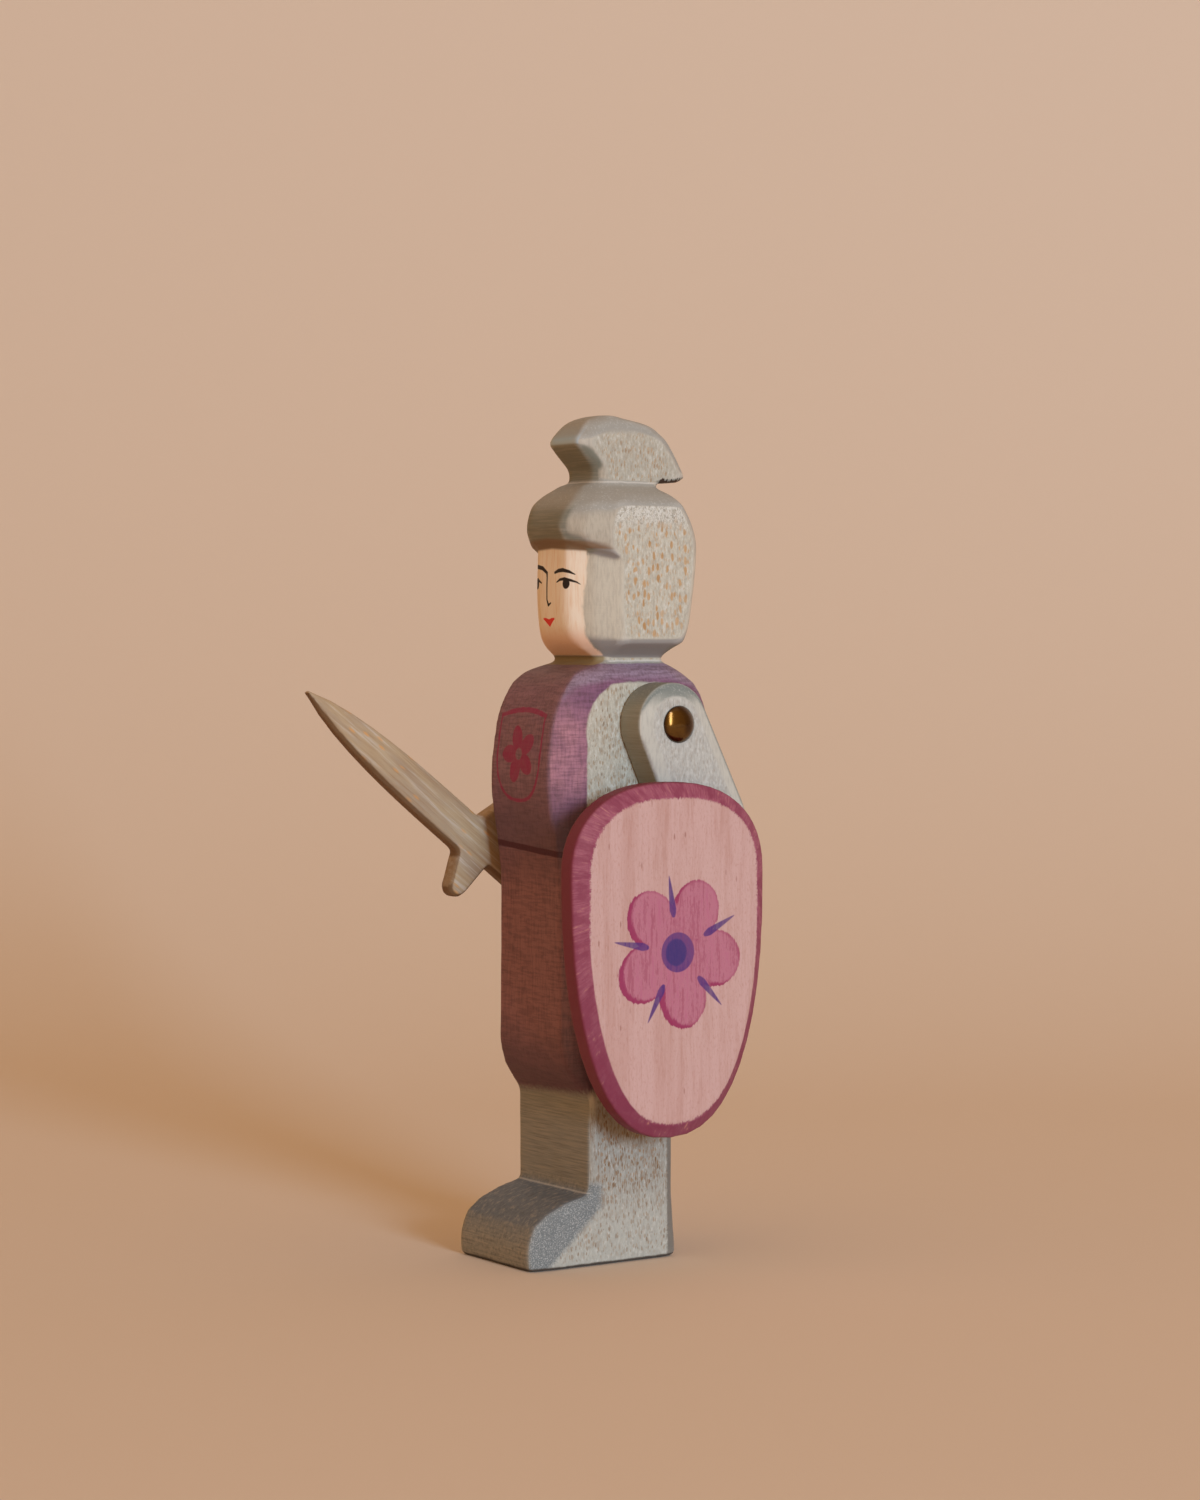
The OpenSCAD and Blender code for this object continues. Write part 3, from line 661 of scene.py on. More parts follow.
@dataclass(frozen=True)
class FacePaint:
    """Peach face with brows, eyes, a nose line and a mouth in fine brush strokes.

    Attributes:
        skin: Main colour.
        blush: Warmer colour along the grain.
        jaw: Colour of the lower jaw.
        ink: Colour of the brows, eyes and nose line.
        lip: Colour of the mouth.
        jaw_z: Height of the lower jaw.
        pupils: Places of the pupils, to the left.
        eye_z: Height of the pupils.
        mouth_x: Place of the mouth, to the left.
        mouth_z: Height of the mouth's upper edge.
        mouth_half: Half of the mouth's width.
        strokes: Brush strokes, as places to the left, heights and half widths.
    """

    skin: Colour = paint_colour(244, 224, 198)
    blush: Colour = paint_colour(232, 192, 152)
    jaw: Colour = paint_colour(232, 186, 154)
    ink: Colour = paint_colour(34, 24, 22)
    lip: Colour = paint_colour(226, 48, 36)
    jaw_z: float = 119.0
    pupils: tuple[float, float] = (-5.0, 4.7)
    eye_z: float = 127.6
    mouth_x: float = -1.0
    mouth_z: float = 121.2
    mouth_half: float = 1.9
    strokes: tuple[Stroke, ...] = (
        ((-7.8, 129.4, 0.1), (-6.4, 130.5, 0.28), (-4.8, 130.9, 0.4), (-3.0, 130.6, 0.38),
         (-1.4, 129.7, 0.28), (-1.3, 128.8, 0.2), (-1.35, 124.6, 0.18), (-0.9, 123.6, 0.26),
         (-0.1, 124.0, 0.13)),
        ((1.3, 129.7, 0.24), (2.5, 130.05, 0.36), (3.9, 130.15, 0.38), (5.3, 129.85, 0.28),
         (6.4, 129.3, 0.08)),
        ((-7.6, 127.0, 0.05), (-6.3, 128.1, 0.22), (-4.8, 128.5, 0.3), (-3.2, 127.8, 0.12)),
        ((2.0, 127.9, 0.12), (3.0, 128.35, 0.24), (4.4, 128.5, 0.3), (5.7, 128.2, 0.24),
         (6.7, 127.85, 0.14), (7.3, 127.45, 0.05)),
    )

    def lay(self, paint: Paint, spot: Spot) -> Coat:
        """Mixes the skin and draws the features.

        Args:
            paint: The paint that it goes into.
            spot: The place on the piece.

        Returns:
            The coat.
        """
        x, z = spot.x, spot.z
        grain = paint.cloud(paint.point(x * 1.8, spot.y * 1.8, z * 0.16), 3, 0.6)
        colour = paint.blend(self.skin, self.blush, grain.step(0.42, 0.75) * 0.7)
        colour = paint.blend(colour, self.jaw, (z - self.jaw_z + grain * 2).step(2.5, -1.5) * 0.8)
        coat = Coat(colour, 0.5 + 0.12 * grain, grain * 0.02)
        for stroke in self.strokes:
            coat = coat.stroke(self.ink, self.line(x, z, stroke))
        for place in self.pupils:
            pupil = ((x - place) / 0.83) ** 2 + ((z - self.eye_z) / 1.0) ** 2
            coat = coat.stroke(self.ink, pupil.step(1.15, 0.85))
        out = abs(x - self.mouth_x) / self.mouth_half
        upper = self.mouth_z - 0.26 * (1 - out * 1.8).most(0)
        lower = self.mouth_z - 1.45 * (1 - out).most(0) ** 1.15 - 0.3
        mouth = (upper - z).step(-0.08, 0.08) * (z - lower).step(-0.08, 0.08)
        return coat.stroke(self.lip, mouth * out.step(1.03, 0.97))

    @staticmethod
    def line(u: Channel, v: Channel, points: Stroke) -> Channel:
        """A brush stroke through points.

        Args:
            u: Distance across.
            v: Height.
            points: The stroke's points, as places across, heights and half widths.

        Returns:
            Where the stroke shows.
        """
        nearest = None
        for (ua, va, wa), (ub, vb, wb) in zip(points, points[1:]):
            du, dv = ub - ua, vb - va
            share = (((u - ua) * du + (v - va) * dv) / (du * du + dv * dv)).most(0).least(1)
            away = ((u - ua - share * du) ** 2 + (v - va - share * dv) ** 2) ** 0.5
            away = away - wa - share * (wb - wa)
            nearest = away if nearest is None else nearest.least(away)
        return nearest.step(0.08, -0.06)


@dataclass(frozen=True)
class Rose:
    """The traditional five-petalled rose, with leaves between its petals and a round heart.

    Attributes:
        radius: Distance from the middle to a petal's tip.
        waist: Distance from the middle to where two petals meet.
        petal: Half width of a petal.
        heart: Radius of the heart.
        turn: Turn of the first petal from level, in degrees.
        petals: Number of petals.
    """

    radius: float
    waist: float
    petal: float
    heart: float
    turn: float
    petals: int = 5

    def fold(self, u: Channel, v: Channel, turn: float) -> tuple[Channel, Channel]:
        """Folds the plane so that every petal falls on the first.

        Args:
            u: Distance across from the rose's middle.
            v: Distance up from the rose's middle.
            turn: Turn of the first fold, in degrees.

        Returns:
            The distances along the fold's own middle line, and across it.
        """
        sector = 2 * math.pi / self.petals
        angle = v.math("ARCTAN2", u) - math.radians(turn)
        folded = (angle + sector / 2).math("FLOORED_MODULO", sector) - sector / 2
        reach = (u * u + v * v) ** 0.5
        return reach * folded.math("COSINE"), reach * folded.math("SINE")

    def inside(self, u: Channel, v: Channel) -> Channel:
        """How far a point lies inside the petals' outline, about in millimetres.

        Args:
            u: Distance across from the rose's middle.
            v: Distance up from the rose's middle.

        Returns:
            The distance, which is less than 0 outside.
        """
        along, across = self.fold(u, v, self.turn)
        middle = (self.radius + self.waist * 0.3) / 2
        half = self.radius - middle
        round_tip = (((along - middle) / half) ** 2 + (across / self.petal) ** 2) ** 0.5
        return (1 - round_tip) * self.petal

    def leaves(self, u: Channel, v: Channel, start: float, end: float, half: float) -> Channel:
        """The thin leaves between the petals, thick near their start and pointed at the end.

        Args:
            u: Distance across from the rose's middle.
            v: Distance up from the rose's middle.
            start: Where a leaf starts.
            end: Where its tip lies.
            half: Half of its width.

        Returns:
            Where the leaves show.
        """
        along, across = self.fold(u, v, self.turn + 180 / self.petals)
        share = ((along - start) / (end - start)).most(0).least(1)
        width = half * (share * 5).least(1) ** 0.5 * (1 - share) ** 0.7
        between = (along - start).step(0, 0.2) * (end - along).step(0, 0.4)
        return (width - abs(across)).step(-0.1, 0.14) * between


@dataclass(frozen=True)
class Badge:
    """A small painted shield with a rose on the chest.

    Attributes:
        line: Colour of its outline and its flower.
        middle: Place of its middle, to the left.
        mid_z: Height of its middle.
        half_w: Half of its width.
        half_h: Half of its height.
        stroke_half: Half of the outline's thickness.
        round_from: Distance above the middle from which its sides curve in.
        square: Squareness of its lower half, where 2 is an ellipse.
        front_y: Places between which the chest's front starts, towards the back.
        rose: The flower's sizes.
        rose_up: Distance of the flower above the middle.
    """

    line: Colour = paint_colour(148, 30, 76)
    middle: float = -0.5
    mid_z: float = 95.4
    half_w: float = 7.4
    half_h: float = 8.5
    stroke_half: float = 0.25
    round_from: float = 1.5
    square: float = 2.6
    front_y: tuple[float, float] = (-13.0, -14.0)
    rose: Rose = Rose(radius=5.6, waist=1.9, petal=1.7, heart=1.1, turn=36)
    rose_up: float = 0.2

    def paint_on(self, coat: Coat, spot: Spot) -> Coat:
        """Paints the badge over a coat.

        Args:
            coat: The coat below.
            spot: The place on the piece.

        Returns:
            The coat with the badge.
        """
        paint = spot.x.paint
        brush = paint.cloud(paint.point(spot.x * 0.5, 0, spot.z * 0.5), 2, 0.6) - 0.5
        u = spot.x - self.middle + brush * 0.5
        v = spot.z - self.mid_z
        front = spot.y.step(*self.front_y)
        low = (v - self.round_from).least(0) / (self.half_h + self.round_from)
        side = abs(u) / self.half_w
        foot = (side ** self.square + abs(low) ** self.square) ** (1 / self.square)
        edge = ((foot - 1) * self.half_w).most(v - self.half_h + 0.02 * u * u)
        thick = self.stroke_half + brush * 0.3 + (v - self.half_h + 2).step(0, 1.5) * 0.24
        rim = (abs(edge) - thick).step(0.12, -0.12)
        petals = self.rose.inside(u, v - self.rose_up).step(-0.1, 0.15)
        eye = (u * u + (v - self.rose_up) ** 2) ** 0.5
        flower = petals * eye.step(self.rose.heart - 0.2, self.rose.heart + 0.2)
        coat = coat.stroke(self.line, rim * front * (0.8 + brush * 0.5))
        return coat.stroke(self.line, flower * front * (0.8 + brush * 0.6))


@dataclass(frozen=True)
class BodyPaint:
    """All the paint on the plank: wash, tunic, belt, face and badge.

    Attributes:
        silver: Wash of the helmet, the armholes and the legs.
        tunic: Stain of the tunic.
        face: Face and its features.
        badge: Badge on the chest.
        belt: Colour of the belt.
        bare: Colour of bare wood on the neck, darkened as painted shade under the chin.
        pale_bare: Colour of bare wood in the grooves.
        visor: Colour of the painted shade under the visor and along its lower edge.
        sole: Colour of the dark band along the bottom of the feet: dark paint of the sole and painted
            contact shade.
        torn: Colour of the torn fibres under the crest's tail.
        hem_z: Height of the tunic's hem.
        belt_z: Height of the belt.
        belt_slope: How fast the belt falls towards the figure's left.
        belt_half: Half of the belt's width.
        neck_z: Height of the neck groove.
        brow_z: Height of the visor's lower edge.
        face_half: Half of the painted face's width.
        hole_front: Front end of the silver armhole.
        hole_back: Rear end of the silver armhole.
        hole_top: Top of the silver armhole.
        hole_round: Radius of the armhole's upper corners.
        tail_z: Height of the crest tail's underside.
        tail_y: Where the crest's tail starts, towards the back.
        crease_z: Height of the crease between foot and shin.
        cheek_top: Heights between which the face gets narrower, from above.
        cheek_low: Heights between which it gets narrower, from below.
        face_y: Places between which the painted face starts, towards the back.
        visor_y: Places between which the painted shade under the visor starts, towards the back.
        neck_y: Places between which the bare neck starts, towards the back.
        side_x: Distances from the middle between which the plank's side starts.
    """

    silver: SilverWash = SilverWash()
    tunic: TunicStain = TunicStain()
    face: FacePaint = FacePaint()
    badge: Badge = Badge()
    belt: Colour = paint_colour(74, 20, 32)
    bare: Colour = paint_colour(146, 124, 83)
    pale_bare: Colour = paint_colour(222, 212, 196)
    visor: Colour = paint_colour(128, 96, 66)
    sole: Colour = paint_colour(84, 76, 68)
    torn: Colour = paint_colour(58, 44, 38)
    hem_z: float = 31.8
    belt_z: float = 77.9
    belt_slope: float = 0.07
    belt_half: float = 0.6
    neck_z: float = 113.1
    brow_z: float = 134.8
    face_half: float = 8.3
    hole_front: float = -10.2
    hole_back: float = 13.4
    hole_top: float = 109.2
    hole_round: float = 9.0
    tail_z: float = 147.1
    tail_y: float = 10.6
    crease_z: float = 13.6
    cheek_top: tuple[float, float] = (132.0, 122.0)
    cheek_low: tuple[float, float] = (114.5, 119.0)
    face_y: tuple[float, float] = (-2.4, -3.2)
    visor_y: tuple[float, float] = (1.0, -6.0)
    neck_y: tuple[float, float] = (0.0, -1.0)
    side_x: tuple[float, float] = (11.6, 12.2)

    def material(self) -> bpy.types.Material:
        """Mixes everything into one material."""
        paint = Paint("painted_body")
        spot = Spot.read(paint)
        x, y, z = spot.x, spot.y, spot.z
        sway = paint.cloud(paint.point(x * 0.35, y * 0.35, z * 0.35), 3, 0.6) - 0.5
        bristle = paint.cloud(paint.point(x * 2.2, y * 2.2, z * 0.35), 3, 0.6) - 0.5
        coat = self.silver.lay(paint, spot)
        coat = self.dress(coat, spot, sway, bristle)
        coat = self.paint_head(coat, spot, sway, bristle)
        return self.mark_edges(coat, spot, sway).dry()

    def dress(self, coat: Coat, spot: Spot, sway: Channel, bristle: Channel) -> Coat:
        """Paints the tunic, its badge and its belt.

        Args:
            coat: The wash below.
            spot: The place on the piece.
            sway: Unsteadiness of the brush.
            bristle: Marks of the brush's hairs.

        Returns:
            The coat with the tunic.
        """
        paint = spot.x.paint
        x, z = spot.x, spot.z
        cloth = 1 - self.armhole(spot, sway)
        hem = (z - self.hem_z + bristle * 2.2 - x * 0.05).step(-1.1, 1.1)
        collar = (z - self.neck_z + 0.5 + sway * 0.5).step(0.12, -0.12)
        tunic = self.badge.paint_on(self.tunic.lay(paint, spot), spot)
        coat = coat.under(tunic, hem * collar * cloth)
        middle = self.belt_z - x * self.belt_slope
        belt = (abs(z - middle + sway * 0.3) - self.belt_half).step(0.15, -0.15)
        return coat.stroke(self.belt, belt * cloth)

    def paint_head(self, coat: Coat, spot: Spot, sway: Channel, bristle: Channel) -> Coat:
        """Paints the face, the painted shade under the visor and the neck.

        Args:
            coat: The coat below.
            spot: The place on the piece.
            sway: Unsteadiness of the brush.
            bristle: Marks of the brush's hairs.

        Returns:
            The coat with the head.
        """
        x, y, z = spot.x, spot.y, spot.z
        narrow = z.step(*self.cheek_top) * z.step(*self.cheek_low)
        out = abs(x) - self.face_half + narrow * 0.6
        front = y.step(*self.face_y)
        top = self.brow_z - abs(x) * 0.06
        face = (out + sway * 0.9 + bristle * 0.6).step(0.3, -0.3) * front
        face = face * (z - self.neck_z).step(0.8, 1.2) * (z - top + 0.6).step(0.3, -0.3)
        # Painted shade under the visor and along its lower edge.
        under = (spot.up * -1).step(0.1, 0.4) * (z - top).step(-0.3, 0.1) * (z - top).step(1.7, 0.9)
        lip = (z - top + sway * 0.4).step(-0.9, -0.5) * (z - top).step(0.4, 0.1) * out.step(0.6, -0.2)
        coat = coat.stroke(self.visor, under.most(lip) * y.step(*self.visor_y) * 0.8)
        coat = coat.under(self.face.lay(x.paint, spot), face)
        # The bare neck is darkened as painted shade under the chin.
        neck = (z - self.neck_z + sway * 0.4).step(-0.9, -0.7) * (z - self.neck_z).step(1, 0.7)
        coat = coat.stroke(self.bare, neck * out.step(0.2, -0.2) * y.step(*self.neck_y) * 0.9)
        groove = (abs(z - self.neck_z + sway * 0.4) - 0.14).step(0.14, -0.1)
        return coat.stroke(self.pale_bare, groove * (1 - front) * 0.6)

    def mark_edges(self, coat: Coat, spot: Spot, sway: Channel) -> Coat:
        """Paints the creases, the torn fibres under the crest's tail, and the dark sole with painted
        contact shade.

        Args:
            coat: The coat below.
            spot: The place on the piece.
            sway: Unsteadiness of the brush.

        Returns:
            The finished coat.
        """
        paint = spot.x.paint
        x, y, z = spot.x, spot.y, spot.z
        rise = z - self.tail_z
        crest_foot = (abs(rise + 0.3 + sway * 0.4) - 0.12).step(0.14, -0.08)
        coat = coat.stroke(self.pale_bare, crest_foot * y.step(self.tail_y + 0.4, self.tail_y) * 0.5)
        crease = (abs(z - self.crease_z + sway * 0.2) - 0.1).step(0.12, -0.06)
        coat = coat.stroke(self.pale_bare, crease * spot.ahead.step(0.3, 0.6) * 0.35)
        teeth = paint.cloud(paint.point(x * 0.2, y * 2.4, 0), 1, 0.5)
        torn = (rise - (teeth - 0.3) * 2.6).step(0.1, -0.1) * y.step(self.tail_y, self.tail_y + 0.3)
        coat = coat.stroke(self.torn, torn * rise.step(-1.2, -0.9))
        # Dark band at the bottom: dark paint of the sole and painted contact shade.
        return coat.stroke(self.sole, (z + sway * 0.5).step(0.8, 0.45))

    def armhole(self, spot: Spot, sway: Channel) -> Channel:
        """Where the sides keep their silver wash under the arms.

        Args:
            spot: The place on the piece.
            sway: Unsteadiness of the brush.

        Returns:
            The mask.
        """
        mid_y = (self.hole_front + self.hole_back) / 2
        half_y = (self.hole_back - self.hole_front) / 2 - self.hole_round
        over_y = (abs(spot.y - mid_y) - half_y).most(0)
        over_z = (spot.z - self.hole_top + self.hole_round).most(0)
        edge = (over_y * over_y + over_z * over_z) ** 0.5 - self.hole_round + sway * 0.9
        above_belt = (spot.z - self.belt_z).step(-0.2, 0.2)
        return edge.step(0.25, -0.25) * above_belt * abs(spot.x).step(*self.side_x)


@dataclass(frozen=True)
class ArmPaint:
    """Silver wash of the arms, with fainter flecks than the plank's.

    Attributes:
        silver: The wash.
    """

    silver: SilverWash = SilverWash(
        pale=paint_colour(190, 185, 172), worn_and_shaded=paint_colour(168, 162, 150),
        grey=paint_colour(144, 141, 124), cheek=paint_colour(196, 190, 174),
        # On the arms the up-facing colour is a darker grey, as painted shade.
        steel=paint_colour(124, 128, 120), fleck=paint_colour(178, 152, 122),
        fleck_w=0.9, fleck_h=2.2, strength=0.35,
    )

    def material(self) -> bpy.types.Material:
        """Mixes the wash into a material."""
        paint = Paint("silver_wood")
        return self.silver.lay(paint, Spot.read(paint)).dry()


@dataclass(frozen=True)
class ShieldPaint:
    """Salmon-pink board with a magenta rim and a painted rose.

    Attributes:
        face: Colour of the board.
        grain: Colour of its darker grain.
        pore: Colour of its few dark pores.
        rim: Colour of the rim.
        rim_low: Colour of the rim where the paint is thick, low on the board.
        rim_deep: Colour of the rim's darker brush strokes.
        rim_bare: Colour of the rim's thinnest brush strokes.
        edge: Colour of the board's edge.
        petal: Colour of the rose's petals.
        petal_edge: Colour of the petals' darker strokes.
        heart: Colour of the spot in the rose's heart.
        barb: Colour of the heart's ring and of the leaves between the petals.
        rose: The rose's sizes.
        rose_y: Place of the rose, towards the back.
        rose_z: Height of the rose.
        overlap: How far the rim's paint runs onto the face.
        edge_depth: Depth below the face at which the board's edge starts.
        front_x: Place of the surface that the rose is painted on, to the left.
        rim_z: Heights between which the rim's paint gets thicker.
    """

    face: Colour = paint_colour(202, 162, 151)
    grain: Colour = paint_colour(180, 132, 117)
    pore: Colour = paint_colour(140, 86, 70)
    rim: Colour = paint_colour(160, 86, 103)
    rim_low: Colour = paint_colour(142, 72, 90)
    rim_deep: Colour = paint_colour(132, 52, 76)
    rim_bare: Colour = paint_colour(206, 142, 120)
    edge: Colour = paint_colour(120, 42, 60)
    petal: Colour = paint_colour(180, 101, 122)
    petal_edge: Colour = paint_colour(146, 40, 82)
    heart: Colour = paint_colour(64, 50, 108)
    barb: Colour = paint_colour(80, 47, 112)
    rose: Rose = Rose(radius=14.3, waist=8.5, petal=5.3, heart=3.7, turn=62)
    rose_y: float = 0.7
    rose_z: float = 59.4
    overlap: float = 0.3
    edge_depth: float = 2.0
    front_x: float = 26.0
    rim_z: tuple[float, float] = (66.0, 36.0)

    def material(self, outline: "ShieldOutline") -> bpy.types.Material:
        """Mixes the paint of the shield.

        Args:
            outline: The board's outline, which the rim follows.

        Returns:
            The material.
        """
        paint = Paint("shield_paint")
        spot = Spot.read(paint)
        x, y, z = spot.x, spot.y, spot.z
        fibre = paint.cloud(paint.point(x, y * 1.5, z * 0.14), 4, 0.65)
        band = paint.cloud(paint.point(x, y * 0.3, z * 0.02), 2, 0.5)
        speckle = paint.cloud(paint.point(x * 2.6, y * 2.6, z * 1.1), 3, 0.7)
        near, pick, _ = paint.cells(y / 2.4, z / 8)
        pores = near.step(0.1, 0.03) * pick.step(0.7, 1)
        shade = fibre.step(0.44, 0.7) * 0.4 + band.step(0.42, 0.66) * 0.35
        colour = paint.blend(self.face, self.grain, shade)
        colour = paint.blend(colour, self.grain, speckle.step(0.48, 0.75) * 0.6)
        colour = paint.blend(colour, self.pore, pores * 0.6)
        coat = Coat(colour, 0.55 + 0.1 * fibre, fibre * 0.03 - pores * 0.03 - speckle * 0.02)
        coat = self.paint_rose(coat, spot, (fibre * 0.7 + speckle * 0.3).step(0.3, 0.7))
        inward, angle = outline.inward(spot)
        rim, ragged = self.brush_rim(spot, inward, angle, speckle)
        thickness = (outline.face_x - x).step(self.edge_depth - 0.3, self.edge_depth + 0.3)
        rim = rim.stroke(self.edge, thickness)
        border = (inward - outline.bevel_w - self.overlap + ragged).step(0.25, -0.25)
        on_face = x.step(outline.face_x - 0.25, outline.face_x - 0.1)
        return coat.under(rim, border.most(1 - on_face)).dry()

    def brush_rim(
        self, spot: Spot, inward: Channel, angle: Channel, speckle: Channel,
    ) -> tuple[Coat, Channel]:
        """Mixes the rim's paint, brushed from the edge inwards.

        Args:
            spot: The place on the board.
            inward: The distance from the outline.
            angle: The angle round the board.
            speckle: Fine unevenness of the paint.

        Returns:
            The rim's coat, and how far its ragged border shifts.
        """
        paint = spot.x.paint
        broad = paint.cloud(paint.point(angle * 8, inward * 0.25, 0), 3, 0.6)
        hairs = paint.cloud(paint.point(angle * 58, inward * 0.35, 0), 3, 0.65)
        colour = paint.blend(self.rim, self.rim_low, spot.z.step(*self.rim_z))
        colour = paint.blend(colour, self.rim_deep, broad.step(0.4, 0.62) * 0.75)
        colour = paint.blend(colour, self.rim_deep, hairs.step(0.46, 0.6) * 0.5)
        bare = hairs.step(0.44, 0.3) * broad.step(0.54, 0.42)
        colour = paint.blend(colour, self.rim_bare, bare * 0.55)
        colour = paint.blend(colour, self.rim_deep, speckle.step(0.5, 0.75) * 0.4)
        ragged = (hairs - 0.5) * 1.2 + (speckle - 0.5) * 1.2
        return Coat(colour, 0.5 + 0.15 * hairs, hairs * 0.03 - speckle * 0.02), ragged

    def paint_rose(self, coat: Coat, spot: Spot, grain: Channel) -> Coat:
        """Paints the rose over the board.

        Args:
            coat: The coat below.
            spot: The place on the board.
            grain: The wood's grain, which shows through the petals.

        Returns:
            The coat with the rose.
        """
        rose = self.rose
        front = spot.x.step(self.front_x - 0.1, self.front_x + 0.1)
        u = spot.y - self.rose_y
        v = spot.z - self.rose_z
        middle = (u * u + v * v) ** 0.5
        inside = rose.inside(u, v).most(rose.waist * 0.8 - middle)
        petals = (inside + (grain - 0.5) * 0.4).step(-0.1, 0.14) * front
        coat = coat.stroke(self.petal, petals * (1 - 0.38 * grain))
        coat = coat.stroke(self.petal_edge, petals * grain.step(0.46, 0.8) * 0.46)
        beside = rose.inside(u - 1.0, v - 0.45)
        crescent = (beside + (grain - 0.5) * 0.7).step(0.4, -0.1) * inside.step(3, 1.5)
        coat = coat.stroke(self.petal_edge, petals * crescent * 0.85)
        coat = coat.stroke(self.petal_edge, petals * inside.step(0.6, 0.1) * 0.35)
        leaves = rose.leaves(u, v, rose.waist * 0.76, rose.radius * 1.02, 0.9)
        coat = coat.stroke(self.barb, leaves * front * (1 - 0.3 * grain))
        ring = middle.step(rose.heart + 0.12, rose.heart - 0.12) * front
        coat = coat.stroke(self.barb, ring * (0.95 - 0.3 * grain))
        spot_edge = ((u + 0.35) ** 2 + (v * 0.94) ** 2) ** 0.5
        heart = spot_edge.step(rose.heart * 0.7, rose.heart * 0.58)
        return coat.stroke(self.heart, heart * front * (1 - 0.25 * grain))


@dataclass(frozen=True)
class ShieldOutline:
    """The egg-shaped outline of the shield, as the board is sawn.

    Attributes:
        mid_y: Place of the widest line, towards the back.
        wide_z: Height of the widest line.
        half_w: Half of the width.
        above: Height above the widest line.
        below: Height below it.
        face_x: Place of the front face, to the left.
        bevel_w: Width of the bevel.
        square: Squareness of the outline, where 2 is an ellipse.
    """

    mid_y: float
    wide_z: float
    half_w: float
    above: float
    below: float
    face_x: float
    bevel_w: float = 2.6
    square: float = 2.35

    @classmethod
    def of_board(cls, node: str, waist: float = 0.74) -> "ShieldOutline":
        """Takes the outline from the board's own size.

        Args:
            node: The board's node in the frame.
            waist: Share of the height that lies below the widest line.

        Returns:
            The outline.
        """
        low, high = (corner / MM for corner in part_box(node))
        height = high.z - low.z
        return cls(
            (low.y + high.y) / 2, low.z + height * waist, (high.y - low.y) / 2,
            height * (1 - waist), height * waist, high.x,
        )

    def inward(self, spot: Spot) -> tuple[Channel, Channel]:
        """How far a point lies inside the outline.

        Args:
            spot: The place on the board.

        Returns:
            The distance from the outline, and the angle round the widest line's middle.
        """
        u = spot.y - self.mid_y
        v = spot.z - self.wide_z
        half_v = v.step(-0.01, 0.01) * (self.above - self.below) + self.below
        share = (abs(u) / self.half_w) ** self.square + (abs(v) / half_v) ** self.square
        depth = 1 - share ** (1 / self.square)
        reach = (u * u + v * v) ** 0.5
        inside = (depth * reach / (1 - depth).most(0.1)).most(depth * self.half_w * 0.5)
        return inside, v.math("ARCTAN2", u)


@dataclass(frozen=True)
class SwordWood:
    """Pale wood of the sword with a thin grey wash, the grain along the blade.

    Attributes:
        pale: Colour of the wood.
        grey: Colour of the wash.
        grain: Colour of the darker grain.
        fleck: Colour of the few orange flecks.
        edge_wear_and_shade: Colour of the sanded edges that face down, worn and darkened as painted shade.
        chalk: Colour of the streaks where the wash is thick.
        lean: Angle of the blade above level, in degrees.
    """

    pale: Colour = paint_colour(184, 157, 122)
    grey: Colour = paint_colour(172, 147, 119)
    grain: Colour = paint_colour(154, 116, 78)
    fleck: Colour = paint_colour(214, 152, 84)
    edge_wear_and_shade: Colour = paint_colour(106, 74, 44)
    chalk: Colour = paint_colour(204, 188, 168)
    lean: float = 38.5

    def material(self) -> bpy.types.Material:
        """Mixes the wood into a material."""
        paint = Paint("sword_wood")
        spot = Spot.read(paint)
        turn = math.radians(self.lean)
        along = spot.z * math.sin(turn) - spot.y * math.cos(turn)
        across = spot.z * math.cos(turn) + spot.y * math.sin(turn)
        fibre = paint.cloud(paint.point(across * 1.7, along * 0.07, spot.x * 0.8), 4, 0.65)
        fine = paint.cloud(paint.point(across * 5, along * 0.25, spot.x * 2), 3, 0.6)
        wash = paint.cloud(paint.point(across * 0.5, along * 0.08, spot.x * 0.3), 2, 0.5)
        near, pick, _ = paint.cells(across / 1.3, along / 4.2)
        flecks = near.step(0.28, 0.06) * pick.step(0.6, 0.9)
        colour = paint.blend(self.pale, self.grey, wash.step(0.35, 0.65))
        lines = fibre.step(0.48, 0.78) * 0.6 + fine.step(0.5, 0.75) * 0.35
        colour = paint.blend(colour, self.grain, lines)
        colour = paint.blend(colour, self.chalk, fibre.step(0.49, 0.33) * 0.6)
        colour = paint.blend(colour, self.fleck, flecks * 0.7)
        edge = (spot.flat + (fine - 0.5) * 0.12).step(0.985, 0.75)
        # The edges that face down are dark: wear and painted shade.
        colour = paint.blend(colour, self.edge_wear_and_shade, edge * spot.up.step(0.5, 0.05) * 0.9)
        relief = fibre * 0.04 + fine * 0.015 - flecks * 0.02
        return Coat(colour, 0.55 + 0.15 * fibre, relief).dry()


